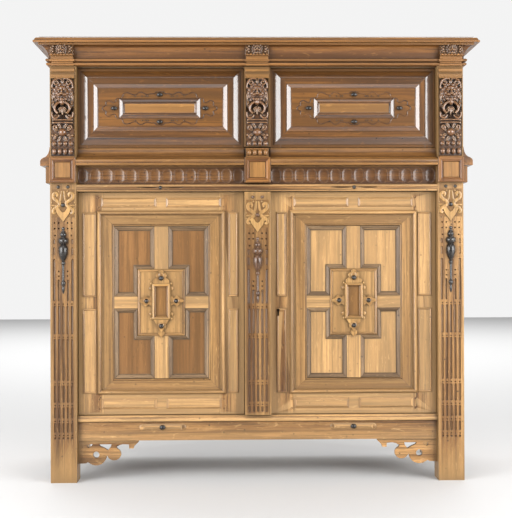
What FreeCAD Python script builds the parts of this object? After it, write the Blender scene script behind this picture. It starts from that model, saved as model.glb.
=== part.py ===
import FreeCAD, Part
import os
import re
import Sketcher

# All sizes are in millimetres. X runs to the right, the front faces -Y, Z is up.
# The origin is on the floor, in the middle of the cupboard's width and depth.

SIZES = {
    # Overall
    "overall_height": 1815,
    "cornice_half": 905,
    "body_half": 847,
    "depth_half": 350,
    "pilaster_front": -292,

    # Corner posts
    "post_width": 106.5,
    "post_depth": 90,
    "rear_post_width": 70,
    "rear_post_depth": 60,

    "top_board_thick": 26,

    # Planes of the front, measured back or forward from the pilaster's face
    "door_setback": 40,
    "door_thick": 30,
    "rail_thick": 34,
    "flute_band_setback": 35,
    "flute_board": 8,
    "ledge_cove_beyond": 6,
    "block_proud": 20,
    "mid_rail_proud": 3,
    "base_face_setback": 26,
    "base_bead_proud": 10,
    "edge_round": 3,
    "overrun": 5,

    # Top board and cornice
    "slab_chamfer_deep": 30,
    "slab_nose": 10,
    "frieze_reach": 40,
    "frieze_foot_reach": 4,
    "bead_reach": 14,
    "fillet_reach": 6,
    "bead_high": 14,
    "cornice_body": 30,

    # Side joinery
    "side_rail_thick": 34,
    "side_panel_thick": 12,
    "side_panel_inset": 20,
    "side_lock_rail_half": 40,
    "side_ledge_reach": 40,
    "panel_groove": 10,
    "groove_air": 0.5,

    # Boards inside
    "board_thick": 20,
    "bearer_high": 34,
    "bearer_thick": 22,
    "board_air": 0.3,
    "shelf_front_setback": 190,
    "back_board_thick": 16,
    "back_rail_thick": 24,
    "back_rail_high": 90,
    "back_board_count": 7,
    "back_board_gap": 1,

    # Doors
    "door_gap": 2,
    "centre_half": 54,
    "pivot_inset": 20,
    "pivot_behind": 8,
    "pivot_radius": 4,
    "pivot_air": 0.08,
    "pivot_depth": 14,
    "pivot_end_room": 1,
    "pivot_plate_thick": 3,
    "pivot_plate_half": 14,
    "stop_deep": 14,
    "stop_thick": 10,
    "stop_air": 0.5,
    "stop_end_room": 60,

    # Lower door
    "lower_field_centre": 397,
    "field_opening_half": 239,
    "bolection_lap": 16.7,
    "bolection_proud": 14,
    "bolection_bevel": 7,
    "mitred_width": 45.5,
    "mitred_proud": 2,
    "ground_recess": 9,
    "ground_thick": 12,
    "panel_mould": 16,
    "panel_mould_proud": 5,
    "strip_half": 28.5,
    "arm_half": 24.5,
    "strip_proud": 3,
    "square_half": 97.6,
    "square_half_high": 137,
    "square_proud": 8,
    "cartouche_half": 37.3,
    "cartouche_half_high": 83,
    "cartouche_open_half": 22.5,
    "cartouche_open_half_high": 63.5,
    "cartouche_proud": 25,
    "cartouche_bevel": 6,
    "shield_thick": 4,
    "shield_half": 20,
    "stile_strip_width": 54,
    "stile_strip_proud": 4,
    "stile_strip_edge": 18,
    "stile_strip_free_edge": 28,
    "rail_tablet_near": 26,
    "rail_tablet_far": 248,

    # Upper door
    "upper_margin": 12,
    "upper_slope": 27,
    "upper_step": 27,
    "upper_slope_two": 20,
    "upper_slope_rise": 12,
    "upper_slope_two_rise": 9,
    "upper_field_centre": 400,
    "tablet_half": 166,
    "tablet_half_high": 41,
    "tablet_open_half": 143,
    "tablet_open_half_high": 27,
    "tablet_proud": 9,
    "tablet_bevel": 6,
    "tablet_fret_half": 26,
    "tablet_fret_thick": 4,
    "tablet_fret_reach": 240,

    # Bosses, drops and studs of ebonised wood
    "boss_half_wide": 13,
    "boss_half_high": 8.5,
    "boss_rise": 9,
    "round_boss_radius": 10,
    "upper_boss_aside": 187,
    "upper_boss_above": 62,
    "cross_boss_aside": 61,
    "cross_boss_above": 101,
    "rail_tablet_boss_place": 397,
    "rail_tablet_half": 95,
    "rail_tablet_proud": 4,
    "mid_tablet_half_high": 9,
    "base_tablet_half_high": 12,
    "tablet_edge": 2,
    "mid_stud_radius": 4,
    "mid_stud_rise": 5,
}

SIZES.update({
    # Carved pilasters and the posts' fluting
    "capital_reach": 14,
    "gilt_fillet_reach": 10,
    "carving_half": 46,
    "carving_plate": 8,
    "leaf_half_high": 28,
    "leaf_half_wide": 38,
    "leaf_rise": 16,
    "mask_half_wide": 27,
    "mask_half_high": 32,
    "mask_rise": 30,
    "ring_radius": 28,
    "ring_bar": 6,
    "fruit_half_wide": 36,
    "fruit_half_high": 42,
    "fruit_rise": 24,
    "gadroon_count": 4,
    "gadroon_high": 34,
    "gadroon_upper_high": 18,
    "gadroon_radius": 11,
    "gadroon_sunk": 6,
    "joint_air": 2,
    "console_half": 47,
    "console_plate_reach": 42,
    "console_mask_half_wide": 21,
    "console_mask_half_high": 23,
    "console_mask_rise": 12,
    "block_bevel": 16,
    "block_recess_half": 31,
    "block_recess_half_high": 38,
    "block_recess_deep": 8,
    "block_recess_slope": 6,
    "side_block_deep": 96,
    "side_block_proud": 18,
    "flute_spacing": 17.5,
    "flute_radius": 6,
    "flute_deep": 3.5,
    "flute_gap": 14,
    "flute_band_radius": 42,
    "flute_band_deep": 5,
    "flute_band_margin": 12,
    "flute_band_count": 14,
    "scroll_half": 36,
    "scroll_high": 132,
    "scroll_proud": 7,
    "scroll_point": 60,
    "drop_length": 272,
    "drop_radius": 18,
    "drop_neck": 6,
    "drop_end": 8,
    "drop_bead": 10,

    # Brackets under the base rail
    "bracket_reach": 247,
    "bracket_drop": 103,
    "bracket_thick": 16,
    "bracket_setback": 34,
    "bracket_band": 15,
    "bracket_ring_outer": 40,
    "bracket_ring_hole": 14,
    "bracket_ring_aside": 70,
    "bracket_ring_below": 58,
    "bracket_lobe_outer": 32,
    "bracket_lobe_aside": 148,
    "bracket_lobe_below": 60,
    "bracket_lobe_hole": 9,
    "bracket_lobe_hole_aside": 158,
    "bracket_neck_half": 12,
    "bracket_cusp": 17,
    "bracket_cusp_aside": 214,
    "bracket_cusp_below": 24,
    "bracket_leg_wide": 26,

    # Lock, bolts and keeper
    "keyhole_aside": 83,
    "keyhole_radius": 4,
    "keyhole_slot_half": 2,
    "keyhole_slot_drop": 12,
    "lock_left": -46,
    "lock_right": 112,
    "lock_high": 96,
    "lock_deep": 24,
    "lock_wall": 3,
    "bolt_half": 9,
    "bolt_thick": 8,
    "bolt_air": 0.3,
    "bolt_retracted": -52,
    "bolt_tail": 70,
    "keeper_wide": 26,
    "keeper_bar": 5,
    "keeper_air": 2,
    "keeper_edge": 3,
    "slide_bolt_aside": 110,
    "slide_bolt_radius": 5,
    "slide_bolt_length": 150,
    "slide_bolt_low_gap": 6,
    "slide_bolt_guide": 12,
    "slide_bolt_first_guide": 20,
    "slide_bolt_guide_pitch": 90,
    "slide_bolt_knob_long": 18,
    "slide_bolt_knob_radius": 4,
    "slide_bolt_air": 0.5,
    "slide_bolt_stand": 10,
})


# Heights of the front and of the boards inside, as shares of the overall height
HEIGHT_SHARES = {
    "base_rail_low": 0.0920,
    "base_rail_top": 0.1488,
    "base_bead_low": 0.1344,
    "mid_rail_low": 0.6556,
    "mid_rail_top": 0.6705,
    "flute_band_top": 0.7135,
    "ledge_nose_top": 0.7289,
    "ledge_top": 0.7548,
    "upper_opening_top": 0.9377,
    "upper_bead_top": 0.9537,
    "frieze_low": 0.9565,
    "side_top_rail_low": 0.9036,
    "side_bottom_rail_top": 0.1653,
    "bottom_board_top": 0.1388,
    "middle_board_top": 0.7449,
    "shelf_top": 0.4077,
    "lower_field_height": 0.4044,
    "field_opening_half_high": 0.1983,
    "stile_strip_top": 0.6088,
    "stile_strip_middle_top": 0.4171,
    "stile_strip_middle_low": 0.3901,
    "stile_strip_low": 0.1978,
    "top_tablet_low": 0.6215,
    "top_tablet_top": 0.6413,
    "bottom_tablet_low": 0.1636,
    "bottom_tablet_top": 0.1851,
    "tablet_height": 0.8441,
    "base_boss_height": 0.1223,
    "capital_low": 0.9366,
    "capital_high": 0.9510,
    "gilt_fillet_low": 0.9240,
    "gilt_fillet_high": 0.9295,
    "astragal_low": 0.9091,
    "astragal_high": 0.9185,
    "leaf_centre": 0.8893,
    "mask_centre": 0.8672,
    "ring_centre": 0.8397,
    "fruit_centre": 0.7961,
    "gadroon_low": 0.7333,
    "console_low": 0.9581,
    "console_high": 0.9851,
    "block_low": 0.6744,
    "block_high": 0.7317,
    "lower_pilaster_top": 0.6540,
    "lower_pilaster_low": 0.1504,
    "post_flute_low": 0.0953,
    "corner_scroll_top": 0.6590,
    "centre_scroll_top": 0.6347,
    "corner_drop_top": 0.5752,
    "centre_drop_top": 0.5510,
    "keyhole_height": 0.3829,
}
FLUTE_FLOOR_SHARES = (0.4055, 0.3311, 0.2264, 0.1774, 0.1421, 0.1102)

doc = FreeCAD.newDocument("cupboard")
sheet = doc.addObject("Spreadsheet::Sheet", "sizes")
FLOORS = [f"flute_floor_{number}" for number in range(len(FLUTE_FLOOR_SHARES))]
cells = [(alias, str(value)) for alias, value in SIZES.items()]
cells += [(alias, f"=overall_height * {share}") for alias, share in HEIGHT_SHARES.items()]
cells += [(alias, f"=overall_height * {share}") for alias, share in zip(FLOORS, FLUTE_FLOOR_SHARES)]
ALIASES = {alias for alias, _ in cells}
for row, (alias, content) in enumerate(cells, start=1):
    sheet.set(f"A{row}", alias)
    sheet.set(f"B{row}", content)
    sheet.setAlias(f"B{row}", alias)
doc.recompute()

PIECES = []


def bound(words):
    """An expression in the sheet's own terms, from plain size names."""
    return re.sub(r"[a-z][a-z0-9_]*", lambda m: "sizes." + m[0] if m[0] in ALIASES else m[0], words)


def bind(thing, **places):
    for key, words in places.items():
        thing.setExpression(key.replace("_at_", "."), bound(words))


def put(thing, x="0", y="0", z="0"):
    for key, words in (("x", x), ("y", y), ("z", z)):
        thing.setExpression(f".Placement.Base.{key}", bound(words))
    return thing


def keep(thing, node):
    """Name a finished piece; the name is also its file's."""
    thing.Label = node
    PIECES.append(thing)
    return thing


def box(name, x, y, z):
    """A board between low and high values along each axis."""
    thing = doc.addObject("Part::Box", name)
    for key, (low, high) in (("Length", x), ("Width", y), ("Height", z)):
        thing.setExpression(key, bound(f"({high}) - ({low})"))
    return put(thing, x[0], y[0], z[0])


def block(name, front, back, y):
    """A bevelled block: a front and a back rectangle (left, right, low, high) and the two planes in y."""
    thing = doc.addObject("Part::Wedge", name)
    limits = {"Xmin": front[0], "Xmax": front[1], "Zmin": front[2], "Zmax": front[3],
              "X2min": back[0], "X2max": back[1], "Z2min": back[2], "Z2max": back[3],
              "Ymin": y[0], "Ymax": y[1]}
    for key, words in limits.items():
        thing.setExpression(key, bound(words))
    return thing


def rectangle(centre_x, centre_z, half, half_high, grow="0"):
    return (f"({centre_x}) - ({half}) - ({grow})", f"({centre_x}) + ({half}) + ({grow})",
            f"({centre_z}) - ({half_high}) - ({grow})", f"({centre_z}) + ({half_high}) + ({grow})")


def cut(name, base, *tools):
    thing = doc.addObject("Part::Cut", name)
    thing.Base = base
    thing.Tool = tools[0] if len(tools) == 1 else group(name + "_cutters", *tools)
    return thing


def group(name, *things):
    """Separate solids that share a node, or cutters used together."""
    thing = doc.addObject("Part::Compound", name)
    thing.Links = list(things)
    return thing


def fuse(name, *things):
    thing = doc.addObject("Part::MultiFuse", name)
    thing.Shapes = list(things)
    return thing


def common(name, first, second):
    thing = doc.addObject("Part::Common", name)
    thing.Base, thing.Tool = first, second
    return thing


def rod(name, radius, length, x, y, z, turn=None):
    """A cylinder from its foot at x, y, z; turn is (axis, degrees), upright without it."""
    thing = doc.addObject("Part::Cylinder", name)
    bind(thing, Radius=radius, Height=length)
    if turn:
        thing.Placement.Rotation = FreeCAD.Rotation(FreeCAD.Vector(*turn[0]), turn[1])
    return put(thing, x, y, z)


ALONG_X = ((0, 1, 0), 90)
TO_FRONT = ((1, 0, 0), 90)


def dome(name, half_wide, half_high, rise, x, y, z):
    """Half an ellipsoid that stands out of a face at y towards the front."""
    thing = doc.addObject("Part::Ellipsoid", name)
    thing.Angle1, thing.Angle2 = 0, 90
    bind(thing, Radius1=rise, Radius2=half_wide, Radius3=half_high)
    thing.Placement.Rotation = FreeCAD.Rotation(FreeCAD.Vector(*TO_FRONT[0]), TO_FRONT[1])
    return put(thing, x, y, z)


def plane_of(body, role):
    return next(plane for plane in body.Origin.OriginFeatures if plane.Role == role)


def outline(body, role, points):
    """A closed sketch of straight sides through points given in size names."""
    sketch = body.newObject("Sketcher::SketchObject", body.Name + "_outline")
    sketch.AttachmentSupport = [(plane_of(body, role), "")]
    sketch.MapMode = "FlatFace"
    count = len(points)
    first = [FreeCAD.Vector(1, 0, 0), FreeCAD.Vector(0, 1, 0)]
    for place in range(count):
        turn = FreeCAD.Rotation(FreeCAD.Vector(0, 0, 1), 360 * place / count)
        following = FreeCAD.Rotation(FreeCAD.Vector(0, 0, 1), 360 * (place + 1) / count)
        sketch.addGeometry(Part.LineSegment(turn.multVec(first[0]), following.multVec(first[0])), False)
    for place in range(count):
        sketch.addConstraint(Sketcher.Constraint("Coincident", place, 2, (place + 1) % count, 1))
    for place, (across, up) in enumerate(points):
        for kind, words in (("DistanceX", across), ("DistanceY", up)):
            number = sketch.addConstraint(Sketcher.Constraint(kind, -1, 1, place, 1, 1.0))
            sketch.setExpression(f"Constraints[{number}]", bound(words))
    return sketch


def prism(name, role, points, start, end):
    """An outline padded along its plane's own axis, from start to end."""
    body = doc.addObject("PartDesign::Body", name)
    sketch = outline(body, role, points)
    pad = body.newObject("PartDesign::Pad", name + "_pad")
    pad.Profile = sketch
    pad.SideType = "Symmetric"
    pad.setExpression("Length", bound(f"({end}) - ({start})"))
    middle = f"(({start}) + ({end})) / 2"
    places = {"YZ_Plane": {"x": middle}, "XZ_Plane": {"y": middle}, "XY_Plane": {"z": middle}}
    return put(body, **places[role])


def half_turned(name, profile, x, y, z):
    """A split turning that faces the front: half a turn of (radius, height) points about its axis."""
    body = doc.addObject("PartDesign::Body", name)
    points = [("0", profile[0][1])] + [(f"-({radius})", height) for radius, height in profile]
    points.append(("0", profile[-1][1]))
    sketch = outline(body, "YZ_Plane", points)
    turning = body.newObject("PartDesign::Revolution", name + "_turning")
    turning.Profile = sketch
    turning.ReferenceAxis = (sketch, ["V_Axis"])
    turning.Midplane = True
    turning.Angle = 180
    return put(body, x, y, z)

# Planes and heights worked out from the sizes
FACE = "pilaster_front"
DOOR_FACE = "(pilaster_front + door_setback)"
DOOR_BACK = "(pilaster_front + door_setback + door_thick)"
RAIL_BACK = "(pilaster_front + flute_band_setback + rail_thick)"
BLOCK_FACE = "(pilaster_front - block_proud)"
POST_INNER = "(body_half - post_width)"
POST_MIDDLE = "(body_half - post_width / 2)"
SLAB_LOW = "(overall_height - top_board_thick)"
BACK_FACE = "(depth_half - back_board_thick)"
REAR_POST_FRONT = "(depth_half - rear_post_depth)"
SIDES = (("left", "-1"), ("right", "1"))
CENTRE_PLACE = "0"


def mirrored(side, near, far):
    """A low and a high x for a piece that lies from near to far out on one side."""
    if side == "left":
        return (f"-({far})", f"-({near})")
    return (near, far)


def flute_cutters(name, x, floors, top, low):
    """Upright flutes, five across, broken by a row left plain at each floor height."""
    cutters = []
    ends = [top] + list(floors) + [low]
    for step in range(-2, 3):
        for place in range(len(ends) - 1):
            start = f"({ends[place + 1]} + flute_gap / 2)"
            length = f"({ends[place]}) - ({ends[place + 1]}) - flute_gap"
            cutters.append(rod(f"{name}_{step + 2}_{place}", "flute_radius", length,
                               f"({x}) + ({step}) * flute_spacing", f"{FACE} - flute_radius + flute_deep",
                               start))
    return cutters


def corner_posts():
    for side, sign in SIDES:
        timber = box(f"post_{side}_timber", mirrored(side, POST_INNER, "body_half"),
                     (FACE, f"{FACE} + post_depth"), ("0", SLAB_LOW))
        cutters = flute_cutters(f"post_{side}_flute", f"({sign}) * {POST_MIDDLE}", FLOORS[1:],
                                FLOORS[0], "post_flute_low")
        carved = fuse(f"post_{side}_carved", timber,
                      lower_scroll(f"scroll_{side}", f"({sign}) * {POST_MIDDLE}", "corner_scroll_top"))
        keep(cut(f"post_{side}", carved, *cutters), f"corner_post_front_{side}")
    rear = [box(f"rear_post_{side}", mirrored(side, "(body_half - rear_post_width)", "body_half"),
                (REAR_POST_FRONT, "depth_half"), ("0", SLAB_LOW)) for side, _ in SIDES]
    keep(group("rear_posts_pair", *rear), "rear_posts")


def top_board():
    slab_low = f"({SLAB_LOW})"
    front = "(-depth_half)"
    shape = box("slab", ("-cornice_half", "cornice_half"), (front, "depth_half"),
                (slab_low, f"{slab_low} + slab_nose"))
    upper = doc.addObject("Part::Wedge", "slab_upper")
    limits = {"Xmin": "-cornice_half", "Xmax": "cornice_half", "Zmin": "-depth_half", "Zmax": "depth_half",
              "X2min": "-cornice_half + slab_chamfer_deep", "X2max": "cornice_half - slab_chamfer_deep",
              "Z2min": "-depth_half", "Z2max": "depth_half - slab_chamfer_deep",
              "Ymin": "0", "Ymax": "top_board_thick - slab_nose"}
    for key, words in limits.items():
        upper.setExpression(key, bound(words))
    upper.Placement.Rotation = FreeCAD.Rotation(FreeCAD.Vector(1, 0, 0), 90)
    put(upper, "0", "0", f"{slab_low} + slab_nose")
    keep(fuse("top_slab", shape, upper), "top_board")


def cornice_profile():
    """Frieze, fillet and bead in section: reach in front of the body's face, and height."""
    low = "upper_opening_top"
    return [("-cornice_body", low), ("fillet_reach", low), ("bead_reach", f"{low} + fillet_reach"),
            ("bead_reach", f"{low} + fillet_reach + bead_high"), ("fillet_reach", "upper_bead_top"),
            ("frieze_foot_reach", "frieze_low")]


def cornice():
    plan_front = [("-body_half - frieze_reach", f"{FACE} - frieze_reach"),
                  ("body_half + frieze_reach", f"{FACE} - frieze_reach"),
                  ("body_half - cornice_body", f"{FACE} + cornice_body"),
                  ("-body_half + cornice_body", f"{FACE} + cornice_body")]
    lower = [(f"{FACE} - ({reach})", height) for reach, height in cornice_profile()]
    lower.append((f"{FACE} + cornice_body", "frieze_low"))
    section = prism("cornice_section", "YZ_Plane", lower, "-body_half - frieze_reach",
                    "body_half + frieze_reach")
    plan = prism("cornice_plan", "XY_Plane", plan_front, "upper_opening_top", SLAB_LOW)
    frieze_high = f"({SLAB_LOW} - frieze_low)"
    ovolo = common("cornice_ovolo",
                   rod("cornice_round", frieze_high, "2 * (body_half + frieze_reach)",
                       "-body_half - frieze_reach", f"{FACE} - frieze_reach + {frieze_high}", SLAB_LOW,
                       ALONG_X),
                   box("cornice_round_limit", ("-body_half - frieze_reach", "body_half + frieze_reach"),
                       (f"{FACE} - frieze_reach", f"{FACE} + cornice_body"), ("frieze_low", SLAB_LOW)))
    whole = common("cornice_front_mitred", fuse("cornice_front_stock", section, ovolo), plan)
    relief = [box(f"cornice_post_room_{side}", mirrored(side, POST_INNER, "body_half"),
                  (FACE, f"{FACE} + cornice_body"), ("upper_opening_top", SLAB_LOW)) for side, _ in SIDES]
    consoles = [box(f"cornice_console_room_{name}", (f"{x} - console_half", f"{x} + console_half"),
                    (f"{FACE} - console_plate_reach", FACE), ("console_low", f"{SLAB_LOW} + overrun"))
                for name, x in pilaster_places()]
    keep(cut("cornice_front_fitted", whole, *relief, *consoles), "cornice_front")
    returns = []
    for side, sign in SIDES:
        points = [(f"({sign}) * (body_half + ({reach}))", height) for reach, height in cornice_profile()[1:]]
        points = [(f"({sign}) * body_half", "upper_opening_top")] + points
        points.append((f"({sign}) * body_half", "frieze_low"))
        section = prism(f"return_{side}_section", "XZ_Plane", points, f"{FACE} - frieze_reach", "depth_half")
        turn = ((1, 0, 0), -90)
        ovolo = common(f"return_{side}_ovolo",
                       rod(f"return_{side}_round", frieze_high, f"depth_half - ({FACE} - frieze_reach)",
                           f"({sign}) * (body_half + frieze_reach - {frieze_high})",
                           f"{FACE} - frieze_reach",
                           SLAB_LOW, turn),
                       box(f"return_{side}_round_limit",
                           mirrored(side, "body_half", "body_half + frieze_reach"),
                           (f"{FACE} - frieze_reach", "depth_half"), ("frieze_low", SLAB_LOW)))
        plan = prism(f"return_{side}_plan", "XY_Plane",
                     [(f"({sign}) * body_half", FACE), (f"({sign}) * body_half", "depth_half"),
                      (f"({sign}) * (body_half + frieze_reach)", "depth_half"),
                      (f"({sign}) * (body_half + frieze_reach)", f"{FACE} - frieze_reach")],
                     "upper_opening_top", SLAB_LOW)
        returns.append(common(f"return_{side}_mitred", fuse(f"return_{side}_stock", section, ovolo), plan))
    keep(group("cornice_returns_pair", *returns), "cornice_returns")


def pilaster_places():
    return (("left", f"(-{POST_MIDDLE})"), ("centre", CENTRE_PLACE), ("right", POST_MIDDLE))


def mask_consoles():
    consoles = []
    for name, x in pilaster_places():
        plate = box(f"console_{name}_plate", (f"{x} - console_half", f"{x} + console_half"),
                    (f"{FACE} - console_plate_reach", FACE), ("console_low", "console_high"))
        mask = dome(f"console_{name}_mask", "console_mask_half_wide", "console_mask_half_high",
                    "console_mask_rise", x, f"{FACE} - console_plate_reach",
                    "(console_low + console_high) / 2")
        consoles.append(fuse(f"console_{name}", plate, mask))
        consoles.append(capital(name, x))
    keep(group("console_set", *consoles), "mask_consoles")


def carved_pilaster(name, x, low, gadroon_high, backing=()):
    """Carved board between the waist and the capital: leaves, mask, ring, fruit and gadroons, stood out in relief."""
    face = f"({FACE} - carving_plate)"
    plate = box(f"{name}_plate", (f"{x} - carving_half", f"{x} + carving_half"), (face, FACE),
                (low, "gilt_fillet_low"))
    fillet = box(f"{name}_fillet", (f"{x} - console_half", f"{x} + console_half"),
                 (f"{FACE} - gilt_fillet_reach", FACE), ("gilt_fillet_low", "gilt_fillet_high"))
    astragal = box(f"{name}_astragal", (f"{x} - console_half", f"{x} + console_half"),
                   (f"{FACE} - gilt_fillet_reach", FACE), ("astragal_low", "astragal_high"))
    neck = box(f"{name}_neck", (f"{x} - carving_half", f"{x} + carving_half"), (face, FACE),
               ("gilt_fillet_low", "capital_low - joint_air"))
    leaf = dome(f"{name}_leaf", "leaf_half_wide", "leaf_half_high", "leaf_rise", x, face, "leaf_centre")
    mask = dome(f"{name}_mask", "mask_half_wide", "mask_half_high", "mask_rise", x, face, "mask_centre")
    fruit = dome(f"{name}_fruit", "fruit_half_wide", "fruit_half_high", "fruit_rise", x, face,
                 "fruit_centre")
    ring = doc.addObject("Part::Torus", f"{name}_ring")
    bind(ring, Radius1="ring_radius", Radius2="ring_bar")
    ring.Placement.Rotation = FreeCAD.Rotation(FreeCAD.Vector(*TO_FRONT[0]), TO_FRONT[1])
    put(ring, x, f"{face} - ring_bar / 2", "ring_centre")
    parts = [plate, fillet, astragal, neck, leaf, mask, fruit, ring]
    parts += gadroons(name, x, low, gadroon_high)
    behind = box(f"{name}_behind", (f"{x} - console_half", f"{x} + console_half"),
                 (FACE, f"{FACE} + gadroon_radius"),
                 (low, f"{low} + {gadroon_high}"))
    relief = cut(f"{name}_carved", fuse(f"{name}_relief", *parts), behind)
    return fuse(f"{name}_backed", relief, *backing) if backing else relief


def gadroons(name, x, low, high):
    """A row of upright half-round lobes across the pilaster's foot."""
    row = []
    for place in range(SIZES["gadroon_count"]):
        aside = f"({x}) + ({place} - (gadroon_count - 1) / 2) * 2 * gadroon_radius"
        row.append(rod(f"{name}_gadroon_{place}", "gadroon_radius", high, aside,
                       f"{FACE} - gadroon_radius + gadroon_sunk", low))
    return row


UPPER_DOOR_LOW = "(ledge_top + door_gap)"
UPPER_DOOR_TOP = "(upper_opening_top - door_gap)"
LOWER_DOOR_LOW = "(base_rail_top + door_gap)"
LOWER_DOOR_TOP = "(mid_rail_low - door_gap)"


def capital(name, x):
    return box(f"{name}_capital", (f"{x} - console_half", f"{x} + console_half"),
               (f"{FACE} - bead_reach - capital_reach", f"{FACE} - bead_reach"), ("upper_opening_top",
                                                                                  "capital_high"))


def fixed_upper_pilasters():
    for side, sign in SIDES:
        x = f"({sign}) * {POST_MIDDLE}"
        keep(carved_pilaster(f"upper_pilaster_{side}", x, "gadroon_low",
                             "gadroon_high + gadroon_upper_high + joint_air"), f"upper_pilaster_{side}")


def centre_base():
    """The fixed foot of the upper centre pilaster, below the door."""
    base = [box("centre_base_plate", ("-carving_half", "carving_half"),
                (f"{FACE} - carving_plate", f"{FACE} + flute_band_setback + flute_board"),
                ("gadroon_low", "gadroon_low + gadroon_high"))]
    base += gadroons("centre_base", CENTRE_PLACE, "gadroon_low", "gadroon_high")
    return fuse("centre_base", *base)


def waist_ledges():
    cove = "(ledge_top - ledge_nose_top)"
    lengths = []
    for side, _ in SIDES:
        x = mirrored(side, "centre_half", POST_INNER)
        stock = box(f"ledge_front_{side}_stock", x,
                    (BLOCK_FACE, f"{FACE} + flute_band_setback + flute_board"),
                    ("flute_band_top", "ledge_top"))
        hollow = rod(f"ledge_front_{side}_hollow", cove, f"{POST_INNER}", x[0],
                     f"{BLOCK_FACE} - ledge_cove_beyond", "ledge_top", ALONG_X)
        lengths.append(cut(f"ledge_front_{side}", stock, hollow))
    keep(group("ledge_front_pair", *lengths), "waist_ledge_front")
    returns = []
    for side, sign in SIDES:
        stock = box(f"ledge_side_{side}_stock", mirrored(side, "body_half", "body_half + side_ledge_reach"),
                    (FACE, "depth_half"), ("flute_band_top", "ledge_top"))
        hollow = rod(f"ledge_side_{side}_hollow", cove, f"depth_half - {FACE}",
                     f"({sign}) * (body_half + side_ledge_reach + ledge_cove_beyond)", FACE, "ledge_top",
                     ((1, 0, 0), -90))
        returns.append(cut(f"ledge_side_{side}", stock, hollow))
    keep(group("ledge_side_pair", *returns), "waist_ledge_returns")


def waist_rail_and_flutes():
    keep(box("waist_rail_board", (f"-{POST_INNER}", POST_INNER),
             (f"{FACE} + flute_band_setback + flute_board", RAIL_BACK),
             ("mid_rail_low", "ledge_top")), "waist_rail")
    boards = []
    for side, sign in SIDES:
        board = box(f"flute_board_{side}", mirrored(side, "centre_half", POST_INNER),
                    (f"{FACE} + flute_band_setback", f"{FACE} + flute_band_setback + flute_board"),
                    ("mid_rail_top", "flute_band_top"))
        pitch = f"(({POST_INNER} - centre_half) / flute_band_count)"
        cutters = []
        for place in range(SIZES["flute_band_count"]):
            aside = f"({sign}) * (centre_half + ({place} + 1 / 2) * {pitch})"
            cutters.append(rod(f"flute_band_{side}_{place}", "flute_band_radius",
                               "flute_band_top - mid_rail_top - 2 * flute_band_margin", aside,
                               f"{FACE} + flute_band_setback - flute_band_radius + flute_band_deep",
                               "mid_rail_top + flute_band_margin"))
        boards.append(cut(f"flute_band_{side}", board, *cutters))
    keep(group("fluted_pair", *boards), "fluted_frieze")


def mid_rail():
    stock = box("mid_rail_stock", (f"-{POST_INNER}", POST_INNER),
                (f"{FACE} - mid_rail_proud", f"{FACE} + flute_band_setback + flute_board"),
                ("mid_rail_low", "mid_rail_top"))
    tablets = []
    for side, sign in SIDES:
        x = f"({sign}) * rail_tablet_boss_place"
        tablets.append(block(f"mid_tablet_{side}",
                             rectangle(x, "(mid_rail_low + mid_rail_top) / 2", "rail_tablet_half",
                                       "mid_tablet_half_high", "-tablet_edge"),
                             rectangle(x, "(mid_rail_low + mid_rail_top) / 2", "rail_tablet_half",
                                       "mid_tablet_half_high"),
                             (f"{FACE} - mid_rail_proud - rail_tablet_proud", f"{FACE} - mid_rail_proud")))
    keep(fuse("mid_rail_whole", stock, *tablets), "mid_rail")


def base_rail():
    face = f"({FACE} + base_face_setback)"
    stock = box("base_rail_stock", (f"-{POST_INNER}", POST_INNER), (face, RAIL_BACK),
                ("base_rail_low", "base_rail_top"))
    bead = box("base_rail_bead", (f"-{POST_INNER}", POST_INNER), (f"{face} - base_bead_proud", face),
               ("base_bead_low", "base_rail_top"))
    tablets = [block(f"base_tablet_{side}",
                     rectangle(f"({sign}) * rail_tablet_boss_place", "base_boss_height", "rail_tablet_half",
                               "base_tablet_half_high", "-tablet_edge"),
                     rectangle(f"({sign}) * rail_tablet_boss_place", "base_boss_height", "rail_tablet_half",
                               "base_tablet_half_high"),
                     (f"{face} - rail_tablet_proud", face)) for side, sign in SIDES]
    keep(fuse("base_rail_whole", stock, bead, *tablets), "base_rail")


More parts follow.
